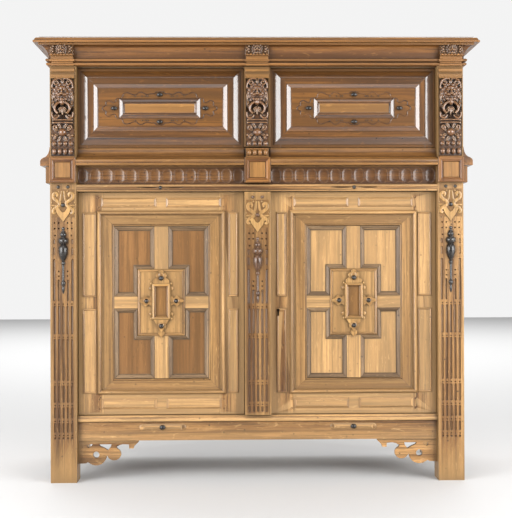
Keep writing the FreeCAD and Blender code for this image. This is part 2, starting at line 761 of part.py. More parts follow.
def bracket(side, sign):
    """A pierced bracket: a band under the rail, a leg by the post, a ring, a lobe and a rising arm."""
    y = (f"{FACE} + bracket_setback", f"{FACE} + bracket_setback + bracket_thick")
    low = "(base_rail_low - bracket_drop)"

    def disc(name, radius, aside, below, long=False):
        start = f"{FACE} + bracket_setback + bracket_thick"
        length = "bracket_thick"
        if long:
            start, length = f"{start} + overrun", "bracket_thick + 2 * overrun"
        return rod(f"bracket_{side}_{name}", radius, length, f"({sign}) * ({POST_INNER} - ({aside}))", start,
                   f"base_rail_low - ({below})", TO_FRONT)

    def slab(name, near, far, low_z, high_z):
        return box(f"bracket_{side}_{name}",
                   mirrored(side, f"({POST_INNER} - ({far}))", f"({POST_INNER} - ({near}))"),
                   y, (low_z, high_z))

    band = slab("band", "0", "bracket_reach", "base_rail_low - bracket_band", "base_rail_low")
    leg = slab("leg", "0", "bracket_leg_wide", low, "base_rail_low")
    ring = disc("ring", "bracket_ring_outer", "bracket_ring_aside", "bracket_ring_below")
    lobe = disc("lobe", "bracket_lobe_outer", "bracket_lobe_aside", "bracket_lobe_below")
    cusp = disc("cusp", "bracket_cusp", "bracket_cusp_aside", "bracket_cusp_below")
    neck = slab("neck", "bracket_ring_aside", "bracket_lobe_aside",
                "base_rail_low - bracket_ring_below - bracket_neck_half",
                "base_rail_low - bracket_ring_below + bracket_neck_half")
    arm = prism(f"bracket_{side}_arm", "XZ_Plane",
                [(f"({sign}) * ({POST_INNER} - bracket_lobe_aside)", "base_rail_low - bracket_lobe_below"),
                 (f"({sign}) * ({POST_INNER} - bracket_lobe_aside)", "base_rail_low"),
                 (f"({sign}) * ({POST_INNER} - bracket_reach)", "base_rail_low"),
                 (f"({sign}) * ({POST_INNER} - bracket_reach)", "base_rail_low - bracket_band")], *y)
    cutters = [disc("ring_hole", "bracket_ring_hole", "bracket_ring_aside", "bracket_ring_below", True),
               disc("lobe_hole", "bracket_lobe_hole", "bracket_lobe_hole_aside", "bracket_lobe_below", True),
               disc("arm_hole", "bracket_lobe_hole", "bracket_cusp_aside - bracket_lobe_outer",
                    "bracket_cusp_below + bracket_band / 2", True)]
    keep(cut(f"bracket_{side}_pierced",
             fuse(f"bracket_{side}_stock", band, leg, ring, lobe, cusp, neck, arm),
             *cutters), f"bracket_{side}")


SIDE_INNER = "(body_half - side_rail_thick)"
POST_BACK = "(pilaster_front + post_depth)"


def side_joinery():
    rail_levels = (("bottom", "base_rail_low", "side_bottom_rail_top"),
                   ("lock", "(lower_field_height - side_lock_rail_half)",
                    "(lower_field_height + side_lock_rail_half)"),
                   ("waist", "mid_rail_low", "ledge_top"),
                   ("top", "side_top_rail_low", SLAB_LOW))
    panel_out = "(body_half - side_panel_inset)"
    panels = []
    for side, sign in SIDES:
        y = (POST_BACK, REAR_POST_FRONT)
        rails = []
        for place, (name, low, high) in enumerate(rail_levels):
            rail = box(f"side_{side}_{name}_rail", mirrored(side, SIDE_INNER, "body_half"), y, (low, high))
            grooves = []
            if name != "bottom":
                grooves.append((low, f"({low}) + panel_groove"))
            if name != "top":
                grooves.append((f"({high}) - panel_groove", high))
            cutters = [box(f"side_{side}_{name}_groove_{number}",
                           mirrored(side, f"({panel_out} - side_panel_thick - groove_air)",
                                    f"({panel_out} + groove_air)"),
                           y, ends) for number, ends in enumerate(grooves)]
            rails.append(cut(f"side_{side}_{name}_grooved", rail, *cutters))
            if place:
                below = rail_levels[place - 1][2]
                panels.append(box(f"side_{side}_panel_{place}",
                                  mirrored(side, f"({panel_out} - side_panel_thick)", panel_out),
                                  (f"{POST_BACK} + board_air", f"{REAR_POST_FRONT} - board_air"),
                                  (f"({below}) - panel_groove + groove_air",
                                   f"({low}) + panel_groove - groove_air")))
        keep(group(f"side_{side}_rails", *rails), f"side_rails_{side}")
    keep(group("side_panel_set", *panels), "side_panels")


def fitted_board(name, top, front):
    """A level board cut round the posts, from front to the back rails."""
    z = (f"({top}) - board_thick", top)
    wide = f"({SIDE_INNER} - board_air)"
    middle = box(f"{name}_middle", (f"-{wide}", wide),
                 (f"{POST_BACK} + board_air" if front == "rail" else front,
                  f"{REAR_POST_FRONT} - board_air"), z)
    rear_half = "(body_half - rear_post_width - board_air)"
    rear = box(f"{name}_rear", (f"-{rear_half}", rear_half),
               (f"{REAR_POST_FRONT} - board_air", f"{BACK_FACE} - back_rail_thick - board_air"), z)
    parts = [middle, rear]
    if front == "rail":
        half = f"({POST_INNER} - board_air)"
        parts.append(box(f"{name}_front", (f"-{half}", half),
                         (f"{RAIL_BACK} + board_air", f"{POST_BACK} + board_air"), z))
    return fuse(name, *parts)


def boards_inside():
    keep(fitted_board("bottom_boarding", "bottom_board_top", "rail"), "bottom_board")
    keep(fitted_board("middle_boarding", "middle_board_top", "rail"), "middle_board")
    shelf_front = f"({FACE} + shelf_front_setback)"
    keep(fitted_board("shelf_boarding", "shelf_top", shelf_front), "lower_shelf")
    bearers = [box(f"bearer_{side}", mirrored(side, f"({SIDE_INNER} - bearer_thick)", SIDE_INNER),
                   (shelf_front, f"{REAR_POST_FRONT} - board_air"),
                   ("shelf_top - board_thick - bearer_high",
                    "shelf_top - board_thick")) for side, _ in SIDES]
    keep(group("bearer_pair", *bearers), "shelf_bearers")
    inner = "(body_half - rear_post_width)"
    pitch = f"(2 * {inner} / back_board_count)"
    boards = [box(f"back_board_{place}",
                  (f"-{inner} + {place} * {pitch} + back_board_gap / 2",
                   f"-{inner} + {place + 1} * {pitch} - back_board_gap / 2"),
                  (BACK_FACE, "depth_half"), ("base_rail_low",
                                              SLAB_LOW)) for place in range(SIZES["back_board_count"])]
    keep(group("back_boarding", *boards), "back_boards")
    levels = (("bottom", "base_rail_low"), ("waist", "(middle_board_top - board_thick - back_rail_high)"),
              ("top", f"({SLAB_LOW} - back_rail_high)"))
    rails = [box(f"back_rail_{name}", (f"-{inner}", inner), (f"{BACK_FACE} - back_rail_thick", BACK_FACE),
                 (low, f"{low} + back_rail_high")) for name, low in levels]
    keep(group("back_railing", *rails), "back_rails")


def top_rail():
    """The rail behind the frieze."""
    stock = box("top_rail_stock", (f"-{POST_INNER}", POST_INNER), (f"{FACE} + cornice_body", RAIL_BACK),
                ("upper_opening_top", SLAB_LOW))
    keep(stock, "top_rail")


def door_stops():
    """Battens behind each door's head and foot, kept clear of the pivot corner's inward swing."""
    heights = (("upper_head", "upper_opening_top"), ("lower_head", "mid_rail_low"))
    battens = []
    for side, _ in SIDES:
        x = mirrored(side, "stop_end_room", f"({POST_INNER} - stop_end_room)")
        for name, level in heights:
            battens.append(box(f"stop_{side}_{name}", x,
                               (f"{DOOR_BACK} + stop_air", f"{DOOR_BACK} + stop_air + stop_thick"),
                               (f"{level} - stop_deep", f"{level} + stop_deep")))
    keep(group("stop_set", *battens), "door_stops")


def waist_blocks():
    blocks = [centre_base()]
    middle = "(block_low + block_high) / 2"
    half_high = "((block_high - block_low) / 2)"
    for name, x in pilaster_places():
        half = "(post_width / 2)"
        back = f"{FACE} + flute_band_setback + flute_board"
        body = block(f"waist_block_{name}_bevel", rectangle(x, middle, half, half_high, "-block_bevel / 2"),
                     rectangle(x, middle, half, half_high), (BLOCK_FACE, FACE))
        recess = block(f"waist_block_{name}_recess",
                       rectangle(x, middle, "block_recess_half", "block_recess_half_high",
                                 "block_recess_slope / 2"),
                       rectangle(x, middle, "block_recess_half", "block_recess_half_high"),
                       (BLOCK_FACE, f"{BLOCK_FACE} + block_recess_deep"))
        parts = body
        if name == "centre":
            low_high = rectangle(x, middle, half, half_high)
            root = box("waist_block_centre_root", low_high[:2], (FACE, back), low_high[2:])
            parts = fuse("waist_block_centre_whole", body, root)
        blocks.append(cut(f"waist_block_{name}", parts, recess))
    for side, sign in SIDES:
        name = f"side_block_{side}"
        stock = box(f"{name}_stock", mirrored(side, "body_half", "body_half + side_block_proud"),
                    (f"{FACE} + edge_round", f"{FACE} + side_block_deep"), ("block_low",
                                                                            "flute_band_top - edge_round"))
        chamfered = doc.addObject("Part::Chamfer", name)
        chamfered.Base = stock
        doc.recompute()
        far = max(abs(v.Point.x) for v in stock.Shape.Vertexes)
        edge_match = SIZES["joint_air"] / 2
        chamfer = SIZES["block_bevel"] / 2
        chosen = []
        for number, edge in enumerate(stock.Shape.Edges, start=1):
            if all(abs(abs(v.Point.x) - far) < edge_match for v in edge.Vertexes):
                chosen.append((number, chamfer, chamfer))
        chamfered.Edges = chosen
        blocks.append(chamfered)
    keep(group("waist_block_set", *blocks), "waist_blocks")

BOLECTION_HALF = "(field_opening_half + bolection_lap)"
BOLECTION_HALF_HIGH = "(field_opening_half_high + bolection_lap)"
INNER_HALF = "(field_opening_half - mitred_width)"
INNER_HALF_HIGH = "(field_opening_half_high - mitred_width)"
HINGE_EDGE = "(body_half - post_width - door_gap)"
PIVOT_X = f"({HINGE_EDGE} - pivot_inset)"
PIVOT_Y = "(pilaster_front + door_setback + pivot_behind)"
WAIST_RAIL_FACE = "(pilaster_front + flute_band_setback + flute_board)"


def socket_plate(name, side, sign, level, up):
    """An iron plate let into a rail round a door's pin; up is 1 where the rail is above the door."""
    low, high = (level, f"{level} + pivot_plate_thick") if up > 0 else (f"{level} - pivot_plate_thick",
                                                                        level)
    plate = box(f"{name}_plate",
                mirrored(side, f"({PIVOT_X} - pivot_plate_half)", f"({PIVOT_X} + pivot_plate_half)"),
                (WAIST_RAIL_FACE, RAIL_BACK), (low, high))
    hole = rod(f"{name}_plate_hole", "pivot_radius + pivot_air", "pivot_plate_thick + 2 * overrun",
               f"({sign}) * {PIVOT_X}", PIVOT_Y, f"({low}) - overrun")
    return cut(name, plate, hole)


def socket_room(name, side, sign, level, up):
    """The recess for a socket plate and the deeper hole for the pin's end."""
    low = level if up > 0 else f"{level} - pivot_depth"
    recess_low, recess_high = (level,
                               f"{level} + pivot_plate_thick") if up > 0 else (f"{level} - pivot_plate_thick", level)
    recess = box(f"{name}_recess",
                 mirrored(side, f"({PIVOT_X} - pivot_plate_half)", f"({PIVOT_X} + pivot_plate_half)"),
                 (WAIST_RAIL_FACE, RAIL_BACK), (recess_low, recess_high))
    hole = rod(f"{name}_hole", "pivot_radius + pivot_air", "pivot_depth", f"({sign}) * {PIVOT_X}", PIVOT_Y,
               low)
    return [recess, hole]


SOCKETS = {"top_rail": (("upper_head", "upper_opening_top", 1),),
           "waist_rail": (("upper_foot", "ledge_top", -1), ("lower_head", "mid_rail_low", 1)),
           "base_rail": (("lower_foot", "base_rail_top", -1),)}


def fit_sockets():
    """Cut the pivot sockets into the three rails and make the iron plates that line them."""
    plates = []
    for node, levels in SOCKETS.items():
        rail = next(piece for piece in PIECES if piece.Label == node)
        PIECES.remove(rail)
        rail.Label = node + "_uncut"
        cutters = []
        for name, level, up in levels:
            for side, sign in SIDES:
                cutters += socket_room(f"{name}_{side}_room", side, sign, level, up)
                plates.append(socket_plate(f"{name}_{side}_socket", side, sign, level, up))
        keep(cut(f"{node}_bored", rail, *cutters), node)
    keep(group("socket_set", *plates), "pivot_sockets")


def door_pivots(name, side, sign, low, top):
    """Two iron pins, each on a plate let into the door's edge, and the cutters for those plates."""
    y = (WAIST_RAIL_FACE, DOOR_BACK)
    x = mirrored(side, f"({PIVOT_X} - pivot_plate_half)", f"({PIVOT_X} + pivot_plate_half)")
    head_z = (f"{top} - pivot_plate_thick", top)
    foot_z = (low, f"{low} + pivot_plate_thick")
    reach = "door_gap + pivot_depth - pivot_end_room"
    head = fuse(f"{name}_head", box(f"{name}_head_plate", x, y, head_z),
                rod(f"{name}_head_pin", "pivot_radius", reach, f"({sign}) * {PIVOT_X}", PIVOT_Y, top))
    foot = fuse(f"{name}_foot", box(f"{name}_foot_plate", x, y, foot_z),
                rod(f"{name}_foot_pin", "pivot_radius", reach, f"({sign}) * {PIVOT_X}", PIVOT_Y,
                    f"{low} - ({reach})"))
    rooms = [box(f"{name}_head_room", x, y, head_z), box(f"{name}_foot_room", x, y, foot_z)]
    return group(f"{name}_pair", head, foot), rooms


def lower_scroll(name, x, top):
    """Strapwork cartouche that narrows to a point above the drop."""
    points = [(f"({x}) - scroll_half", top), (f"({x}) + scroll_half", top),
              (f"({x}) + scroll_half", f"({top}) - scroll_high + scroll_point"), (x,
                                                                                  f"({top}) - scroll_high"),
              (f"({x}) - scroll_half", f"({top}) - scroll_high + scroll_point")]
    return prism(name, "XZ_Plane", points, f"{FACE} - scroll_proud", FACE)


def drop(name, x, top):
    """A split turning: cap, ring, bulb, bead and a stem that ends in a small ball."""
    part = "drop_length"
    shares = (("drop_radius", 0), ("drop_radius", -0.05), ("drop_bead", -0.08), ("drop_radius", -0.13),
              ("drop_bead", -0.18), ("drop_radius", -0.26), ("drop_radius", -0.38), ("drop_neck", -0.5),
              ("drop_bead", -0.54), ("drop_neck", -0.58), ("drop_neck / 2", -0.86), ("drop_end", -0.91),
              ("drop_neck / 2", -0.95), ("drop_neck / 3", -1))
    profile = [(radius, f"{share} * {part}") for radius, share in shares]
    return half_turned(name, profile, x, FACE, top)


def centre_pilaster():
    """The centre pilaster on the right lower door, with its scroll, flutes and drop."""
    board = box("centre_pilaster_board", ("-centre_half", "centre_half"), (FACE, DOOR_FACE),
                ("lower_pilaster_low", "lower_pilaster_top"))
    whole = fuse("centre_pilaster_stock", board,
                 lower_scroll("centre_scroll", CENTRE_PLACE, "centre_scroll_top"))
    cutters = flute_cutters("centre_flute", CENTRE_PLACE, FLOORS[2:4], FLOORS[1], "lower_pilaster_low")
    keep(cut("centre_pilaster_fluted", whole, *cutters), "lower_pilaster_centre")
    keep(drop("centre_drop_turning", CENTRE_PLACE, "centre_drop_top"), "centre_drop")


def ring(name, x, z, outer, opening, y, bevel):
    """A moulded frame: bevelled outside and inside, x and z at its centre; outer and opening are half sizes."""
    stock = block(f"{name}_stock", rectangle(x, z, *outer, f"-({bevel})"), rectangle(x, z, *outer), y)
    funnel = block(f"{name}_opening", rectangle(x, z, *opening, bevel), rectangle(x, z, *opening), y)
    return cut(name, stock, funnel)


def l_panel_mould(name, x, across, up):
    """The moulding round one L-shaped panel; across and up are 1 or -1 for its quarter of the door."""
    z = "lower_field_height"
    y = (f"{DOOR_FACE} - panel_mould_proud", f"{DOOR_FACE} + ground_recess")

    def quarter(part, inset):
        near_x, far_x = f"strip_half + {inset}", f"{INNER_HALF} - {inset}"
        near_z, far_z = f"arm_half + {inset}", f"{INNER_HALF_HIGH} - {inset}"
        ends_x = (f"{x} + {near_x}", f"{x} + {far_x}") if across > 0 else (f"{x} - ({far_x})",
                                                                           f"{x} - ({near_x})")
        ends_z = (f"{z} + {near_z}", f"{z} + {far_z}") if up > 0 else (f"{z} - ({far_z})",
                                                                       f"{z} - ({near_z})")
        field = box(f"{name}_{part}_field", ends_x, y, ends_z)
        corner = rectangle(x, z, "square_half", "square_half_high", inset)
        return cut(f"{name}_{part}", field, box(f"{name}_{part}_corner", corner[:2], y, corner[2:]))

    return cut(name, quarter("outer", "0"), quarter("inner", "panel_mould"))


def shield(name, x, z, along, sign):
    """A pointed plate under a boss, from the cartouche out to the square's edge."""
    y = (f"{DOOR_FACE} - square_proud - shield_thick", f"{DOOR_FACE} - square_proud")
    near, far, half = ("cartouche_half", "square_half", "shield_half") if along == "x" else (
        "cartouche_half_high", "square_half_high", "shield_half")
    shoulder = f"({near} + ({far}) * 2) / 3"
    path = [(near, f"-({half})"), (shoulder, f"-({half})"), (far, "0"), (shoulder, half), (near, half)]
    if along == "x":
        points = [(f"{x} + ({sign}) * ({reach})", f"{z} + {aside}") for reach, aside in path]
    else:
        points = [(f"{x} + {aside}", f"{z} + ({sign}) * ({reach})") for reach, aside in path]
    return prism(name, "XZ_Plane", points, *y)


def lower_door(side, sign):
    door = f"lower_door_{side}"
    x, z = f"({sign}) * lower_field_centre", "lower_field_height"
    free = "(centre_half + door_gap)" if side == "left" else "(-centre_half)"
    y = (DOOR_FACE, DOOR_BACK)
    outer_edge = "(lower_field_centre + field_opening_half)"
    inner_edge = "(lower_field_centre - field_opening_half)"
    whole = (LOWER_DOOR_LOW, LOWER_DOOR_TOP)
    field_low, field_top = f"({z} - field_opening_half_high)", f"({z} + field_opening_half_high)"
    pivots, rooms = door_pivots(f"{door}_pin", side, sign, *whole)

    def strips(name, near, far):
        spans = (("low", "stile_strip_low", "stile_strip_middle_low"),
                 ("top", "stile_strip_middle_top", "stile_strip_top"))
        return [box(f"{door}_{name}_strip_{part}", mirrored(side, near, far),
                    (f"{DOOR_FACE} - stile_strip_proud", DOOR_FACE), ends) for part, *ends in spans]

    def tablets(name, low, top):
        return [box(f"{door}_{name}_tablet_{part}",
                    (f"{x} + ({way}) * rail_tablet_{'near' if way > 0 else 'far'}",
                     f"{x} + ({way}) * rail_tablet_{'far' if way > 0 else 'near'}"),
                    (f"{DOOR_FACE} - stile_strip_proud",
                     DOOR_FACE), (low, top)) for part, way in (("a", -1), ("b", 1))]

    hinge_stile = fuse(f"{door}_hinge_stile_stock",
                       box(f"{door}_hinge_stile_board", mirrored(side, outer_edge, HINGE_EDGE), y, whole),
                       *strips("hinge", f"({HINGE_EDGE} - stile_strip_edge - stile_strip_width)",
                               f"({HINGE_EDGE} - stile_strip_edge)"))
    hinge_stile = cut(f"{door}_hinge_stile", hinge_stile, *rooms)
    strip_near = "(centre_half + stile_strip_free_edge)"
    free_stile = fuse(f"{door}_free_stile",
                      box(f"{door}_free_stile_board", mirrored(side, free, inner_edge), y, whole),
                      *strips("free", strip_near, f"({strip_near} + stile_strip_width)"))
    if side == "right":
        free_stile = cut(f"{door}_free_stile_bored", free_stile, *keyhole(f"{door}_keyhole"))
    across = mirrored(side, inner_edge, outer_edge)
    rails = [fuse(f"{door}_top_rail", box(f"{door}_top_rail_board", across, y, (field_top, LOWER_DOOR_TOP)),
                  *tablets("top", "top_tablet_low", "top_tablet_top")),
             fuse(f"{door}_bottom_rail",
                  box(f"{door}_bottom_rail_board", across, y, (LOWER_DOOR_LOW, field_low)),
                  *tablets("bottom", "bottom_tablet_low", "bottom_tablet_top"))]
    keep(group(f"{door}_joinery", hinge_stile, free_stile, *rails), f"{door}_frame")
    keep(pivots, f"{door}_pivots")

    ground = rectangle(x, z, "field_opening_half", "field_opening_half_high")
    keep(box(f"{door}_ground", ground[:2],
             (f"{DOOR_FACE} + ground_recess", f"{DOOR_FACE} + ground_recess + ground_thick"),
             ground[2:]), f"{door}_panel")
    bolection = ring(f"{door}_bolection", x, z, (BOLECTION_HALF, BOLECTION_HALF_HIGH),
                     ("field_opening_half", "field_opening_half_high"),
                     (f"{DOOR_FACE} - bolection_proud", DOOR_FACE), "bolection_bevel")
    flat = ring(f"{door}_mitred", x, z, ("field_opening_half", "field_opening_half_high"),
                (INNER_HALF, INNER_HALF_HIGH),
                (f"{DOOR_FACE} - mitred_proud", f"{DOOR_FACE} + ground_recess"), "0")
    moulds = [l_panel_mould(f"{door}_mould_{number}", x, way, up)
              for number, (way, up) in enumerate(((-1, 1), (1, 1), (-1, -1), (1, -1)))]
    keep(group(f"{door}_moulding_set", bolection, flat, *moulds), f"{door}_mouldings")

    back = f"{DOOR_FACE} + ground_recess"
    strip = rectangle(x, z, "strip_half", INNER_HALF_HIGH)
    arm = rectangle(x, z, INNER_HALF, "arm_half")
    square = rectangle(x, z, "square_half", "square_half_high")
    crossing = fuse(
        f"{door}_crossing",
        box(f"{door}_upright", strip[:2], (f"{DOOR_FACE} - strip_proud", back), strip[2:]),
        box(f"{door}_arm", arm[:2], (f"{DOOR_FACE} - strip_proud", back), arm[2:]),
        box(f"{door}_square", square[:2], (f"{DOOR_FACE} - square_proud", back), square[2:]))

    frame = ring(f"{door}_cartouche_ring", x, z, ("cartouche_half", "cartouche_half_high"),
                 ("cartouche_open_half", "cartouche_open_half_high"),
                 (f"{DOOR_FACE} - cartouche_proud", f"{DOOR_FACE} - square_proud"), "cartouche_bevel")
    shields = [shield(f"{door}_shield_{along}{number}", x, z, along, way)
               for along in ("x", "z") for number, way in enumerate(("-1", "1"))]
    keep(group(f"{door}_cross_set", crossing, frame, *shields), f"{door}_cross")
    seat = f"{DOOR_FACE} - square_proud - shield_thick"
    places = (("cross_boss_aside", "0"), ("-cross_boss_aside", "0"), ("0", "cross_boss_above"),
              ("0", "-cross_boss_above"))
    bosses = [dome(f"{door}_boss_{number}", "round_boss_radius", "round_boss_radius", "boss_rise",
                   f"{x} + {aside}", seat, f"{z} + {above}") for number, (aside, above) in enumerate(places)]
    if side == "right":
        bosses.append(dome("centre_boss", "round_boss_radius", "round_boss_radius", "boss_rise",
                           CENTRE_PLACE,
                           f"{FACE} - scroll_proud", "centre_scroll_top - scroll_high / 2"))
    keep(group(f"{door}_boss_set", *bosses), f"{door}_bosses")


def keyhole(name):
    start = f"{DOOR_BACK} + lock_wall"
    length = f"{DOOR_BACK} + lock_wall - ({DOOR_FACE}) + stile_strip_proud"
    slot = box(f"{name}_slot", ("keyhole_aside - keyhole_slot_half", "keyhole_aside + keyhole_slot_half"),
               (f"{DOOR_FACE} - stile_strip_proud", start), ("keyhole_height - keyhole_slot_drop",
                                                             "keyhole_height"))
    return [rod(f"{name}_round", "keyhole_radius", length, "keyhole_aside", start, "keyhole_height",
                TO_FRONT), slot]


def lock_and_bolts():
    z = "keyhole_height"
    case = box("lock_shell", ("lock_left", "lock_right"), (DOOR_BACK, f"{DOOR_BACK} + lock_deep"),
               (f"{z} - lock_high / 2", f"{z} + lock_high / 2"))
    hollow = box("lock_hollow", ("lock_left + lock_wall", "lock_right - lock_wall"),
                 (f"{DOOR_BACK} + lock_wall", f"{DOOR_BACK} + lock_deep - lock_wall"),
                 (f"{z} - lock_high / 2 + lock_wall", f"{z} + lock_high / 2 - lock_wall"))
    middle = f"({DOOR_BACK} + lock_deep / 2)"
    mouth = box("lock_mouth", ("lock_left - overrun", "lock_left + lock_wall + overrun"),
                (f"{middle} - bolt_thick / 2 - bolt_air", f"{middle} + bolt_thick / 2 + bolt_air"),
                (f"{z} - bolt_half - bolt_air", f"{z} + bolt_half + bolt_air"))
    keep(cut("lock_box", case, hollow, mouth, *keyhole("lock_keyhole")), "lock_case")
    keep(box("lock_bolt_bar", ("bolt_retracted", "bolt_tail"),
             (f"{middle} - bolt_thick / 2", f"{middle} + bolt_thick / 2"),
             (f"{z} - bolt_half", f"{z} + bolt_half")), "lock_bolt")
    near = "(-centre_half - door_gap - keeper_edge)"
    reach = f"{middle} + bolt_thick / 2 + keeper_air"
    staple = box("keeper_stock", (f"{near} - keeper_wide", near), (DOOR_BACK, f"{reach} + keeper_bar"),
                 (f"{z} - bolt_half - keeper_air - keeper_bar",
                  f"{z} + bolt_half + keeper_air + keeper_bar"))
    slot = box("keeper_slot", (f"{near} - keeper_wide", near),
               (f"{middle} - bolt_thick / 2 - keeper_air", reach),
               (f"{z} - bolt_half - keeper_air", f"{z} + bolt_half + keeper_air"))
    stand = f"({DOOR_BACK} + slide_bolt_stand)"
    foot = f"({LOWER_DOOR_LOW} + slide_bolt_low_gap)"
    guides = []
    for number in (1, 2):
        level = f"({foot} + ({number} - 1) * slide_bolt_guide_pitch + slide_bolt_first_guide)"
        stock = box(f"guide_{number}_stock",
                    ("-slide_bolt_aside - slide_bolt_guide", "-slide_bolt_aside + slide_bolt_guide"),
                    (DOOR_BACK, f"{stand} + slide_bolt_guide"), (level, f"{level} + slide_bolt_guide"))
        hole = rod(f"guide_{number}_hole", "slide_bolt_radius + slide_bolt_air",
                   "slide_bolt_guide + 2 * overrun",
                   "-slide_bolt_aside", stand, f"{level} - overrun")
        guides.append(cut(f"guide_{number}", stock, hole))
    keep(group("keeper_and_guides", cut("keeper_staple", staple, slot), *guides), "keeper_and_guides")
    knob_level = f"({foot} + slide_bolt_first_guide + slide_bolt_guide_pitch / 2 + slide_bolt_guide)"
    knob = rod("slide_bolt_knob", "slide_bolt_knob_radius", "slide_bolt_knob_long", "-slide_bolt_aside",
               f"{stand} + slide_bolt_knob_long", knob_level, TO_FRONT)
    keep(fuse("slide_bolt_bar",
              rod("slide_bolt_rod", "slide_bolt_radius", "slide_bolt_length", "-slide_bolt_aside",
                                    stand, foot), knob), "slide_bolt")


def upper_door(side, sign):
    door = f"upper_door_{side}"
    free = "(centre_half + door_gap)" if side == "left" else "(-centre_half)"
    y = (DOOR_FACE, DOOR_BACK)
    whole = (UPPER_DOOR_LOW, UPPER_DOOR_TOP)
    steps = "(upper_slope + upper_step + upper_slope_two)"
    near = "(centre_half + door_gap + upper_margin)"
    far = f"({HINGE_EDGE} - upper_margin)"
    low, top = f"({UPPER_DOOR_LOW} + upper_margin)", f"({UPPER_DOOR_TOP} - upper_margin)"
    x, z = f"({sign}) * ({near} + {far}) / 2", f"({low} + {top}) / 2"
    half, half_high = f"(({far} - {near}) / 2)", f"(({top} - {low}) / 2)"
    open_near, open_far = f"({near} + {steps})", f"({far} - {steps})"
    open_low, open_top = f"({low} + {steps})", f"({top} - {steps})"
    pivots, rooms = door_pivots(f"{door}_pin", side, sign, *whole)
    hinge_stile = cut(f"{door}_hinge_stile",
                      box(f"{door}_hinge_stile_board", mirrored(side, open_far, HINGE_EDGE), y,
                          whole), *rooms)
    free_stile = box(f"{door}_free_stile", mirrored(side, free, open_near), y, whole)
    across = mirrored(side, open_near, open_far)
    rails = [box(f"{door}_top_rail", across, y, (open_top, UPPER_DOOR_TOP)),
             box(f"{door}_bottom_rail", across, y, (UPPER_DOOR_LOW, open_low))]
    keep(group(f"{door}_joinery", hinge_stile, free_stile, *rails), f"{door}_frame")
    keep(pivots, f"{door}_pivots")

    step_face = f"({DOOR_FACE} - upper_slope_rise)"
    field_face = f"({step_face} - upper_slope_two_rise)"
    first = block(f"{door}_first_step", rectangle(x, z, half, half_high, "-upper_slope"),
                  rectangle(x, z, half, half_high), (step_face, DOOR_FACE))
    inner = "-(upper_slope + upper_step)"
    second = block(f"{door}_second_step", rectangle(x, z, half, half_high, f"-{steps}"),
                   rectangle(x, z, half, half_high, inner), (field_face, step_face))
    board = box(f"{door}_panel_board", across, (DOOR_FACE, f"{DOOR_FACE} + ground_thick"),
                (open_low, open_top))
    keep(fuse(f"{door}_cushion", first, second, board), f"{door}_raised_panel")

    middle = f"({sign}) * upper_field_centre"
    tablet = ring(f"{door}_tablet_ring", middle, "tablet_height", ("tablet_half", "tablet_half_high"),
                  ("tablet_open_half", "tablet_open_half_high"), (f"{field_face} - tablet_proud",
                                                                  field_face),
                  "tablet_bevel")
    ends = []
    for number, way in enumerate(("-1", "1")):
        points = [(f"{middle} + ({way}) * tablet_half", "tablet_height - tablet_fret_half"),
                  (f"{middle} + ({way}) * tablet_fret_reach", "tablet_height"),
                  (f"{middle} + ({way}) * tablet_half", "tablet_height + tablet_fret_half")]
        ends.append(prism(f"{door}_tablet_end_{number}", "XZ_Plane", points,
                          f"{field_face} - tablet_fret_thick", field_face))
    keep(group(f"{door}_tablet_set", tablet, *ends), f"{door}_tablet")
    places = (("upper_boss_aside", "0", f"{field_face} - tablet_fret_thick"),
              ("-upper_boss_aside", "0", f"{field_face} - tablet_fret_thick"),
              ("0", "upper_boss_above", field_face), ("0", "-upper_boss_above", field_face))
    bosses = [dome(f"{door}_boss_{number}", "boss_half_wide", "boss_half_high", "boss_rise",
                   f"{middle} + {aside}", seat, f"tablet_height + {above}")
              for number, (aside, above, seat) in enumerate(places)]
    keep(group(f"{door}_boss_set", *bosses), f"{door}_bosses")


def carcase_bosses():
    """Ebonised drops and bosses on the corner posts and base rail, and studs on the mid rail."""
    base = f"({FACE} + base_face_setback - rail_tablet_proud)"
    bosses = []
    for side, sign in SIDES:
        x = f"({sign}) * rail_tablet_boss_place"
        bosses.append(dome(f"base_boss_{side}", "boss_half_wide", "boss_half_high", "boss_rise", x, base,
                           "base_boss_height"))
        bosses.append(dome(f"mid_stud_{side}", "mid_stud_radius", "mid_stud_radius", "mid_stud_rise", x,
                           f"{FACE} - mid_rail_proud - rail_tablet_proud",
                           "(mid_rail_low + mid_rail_top) / 2"))
        bosses.append(dome(f"scroll_boss_{side}", "round_boss_radius", "round_boss_radius", "boss_rise",
                           f"({sign}) * {POST_MIDDLE}", f"{FACE} - scroll_proud",
                           "corner_scroll_top - scroll_high / 2"))
        bosses.append(drop(f"drop_{side}", f"({sign}) * {POST_MIDDLE}", "corner_drop_top"))
    keep(group("carcase_boss_set", *bosses), "ebony_drops_and_bosses")


corner_posts()
top_board()
cornice()
mask_consoles()
fixed_upper_pilasters()
waist_ledges()
waist_rail_and_flutes()
mid_rail()
base_rail()
for side, sign in SIDES:
    bracket(side, sign)
side_joinery()
boards_inside()
top_rail()
door_stops()
waist_blocks()
fit_sockets()
centre_pilaster()
for side, sign in SIDES:
    lower_door(side, sign)
    upper_door(side, sign)
centre_backing = box("upper_pilaster_backing", ("-centre_half", "centre_half"), (FACE, DOOR_FACE),
                     (UPPER_DOOR_LOW, UPPER_DOOR_TOP))
keep(carved_pilaster("upper_pilaster_moving", CENTRE_PLACE, UPPER_DOOR_LOW, "gadroon_upper_high",
                     [centre_backing]),
     "upper_pilaster_centre")
lock_and_bolts()
carcase_bosses()
doc.recompute()

faults = [f"{thing.Label}: {thing.State}" for thing in doc.Objects
          if {"Invalid", "Error"} & set(thing.State)]
for piece in PIECES:
    if piece.Shape.isNull() or not piece.Shape.isValid():
        faults.append(f"{piece.Label}: no valid shape")
if faults:
    raise RuntimeError("; ".join(faults))

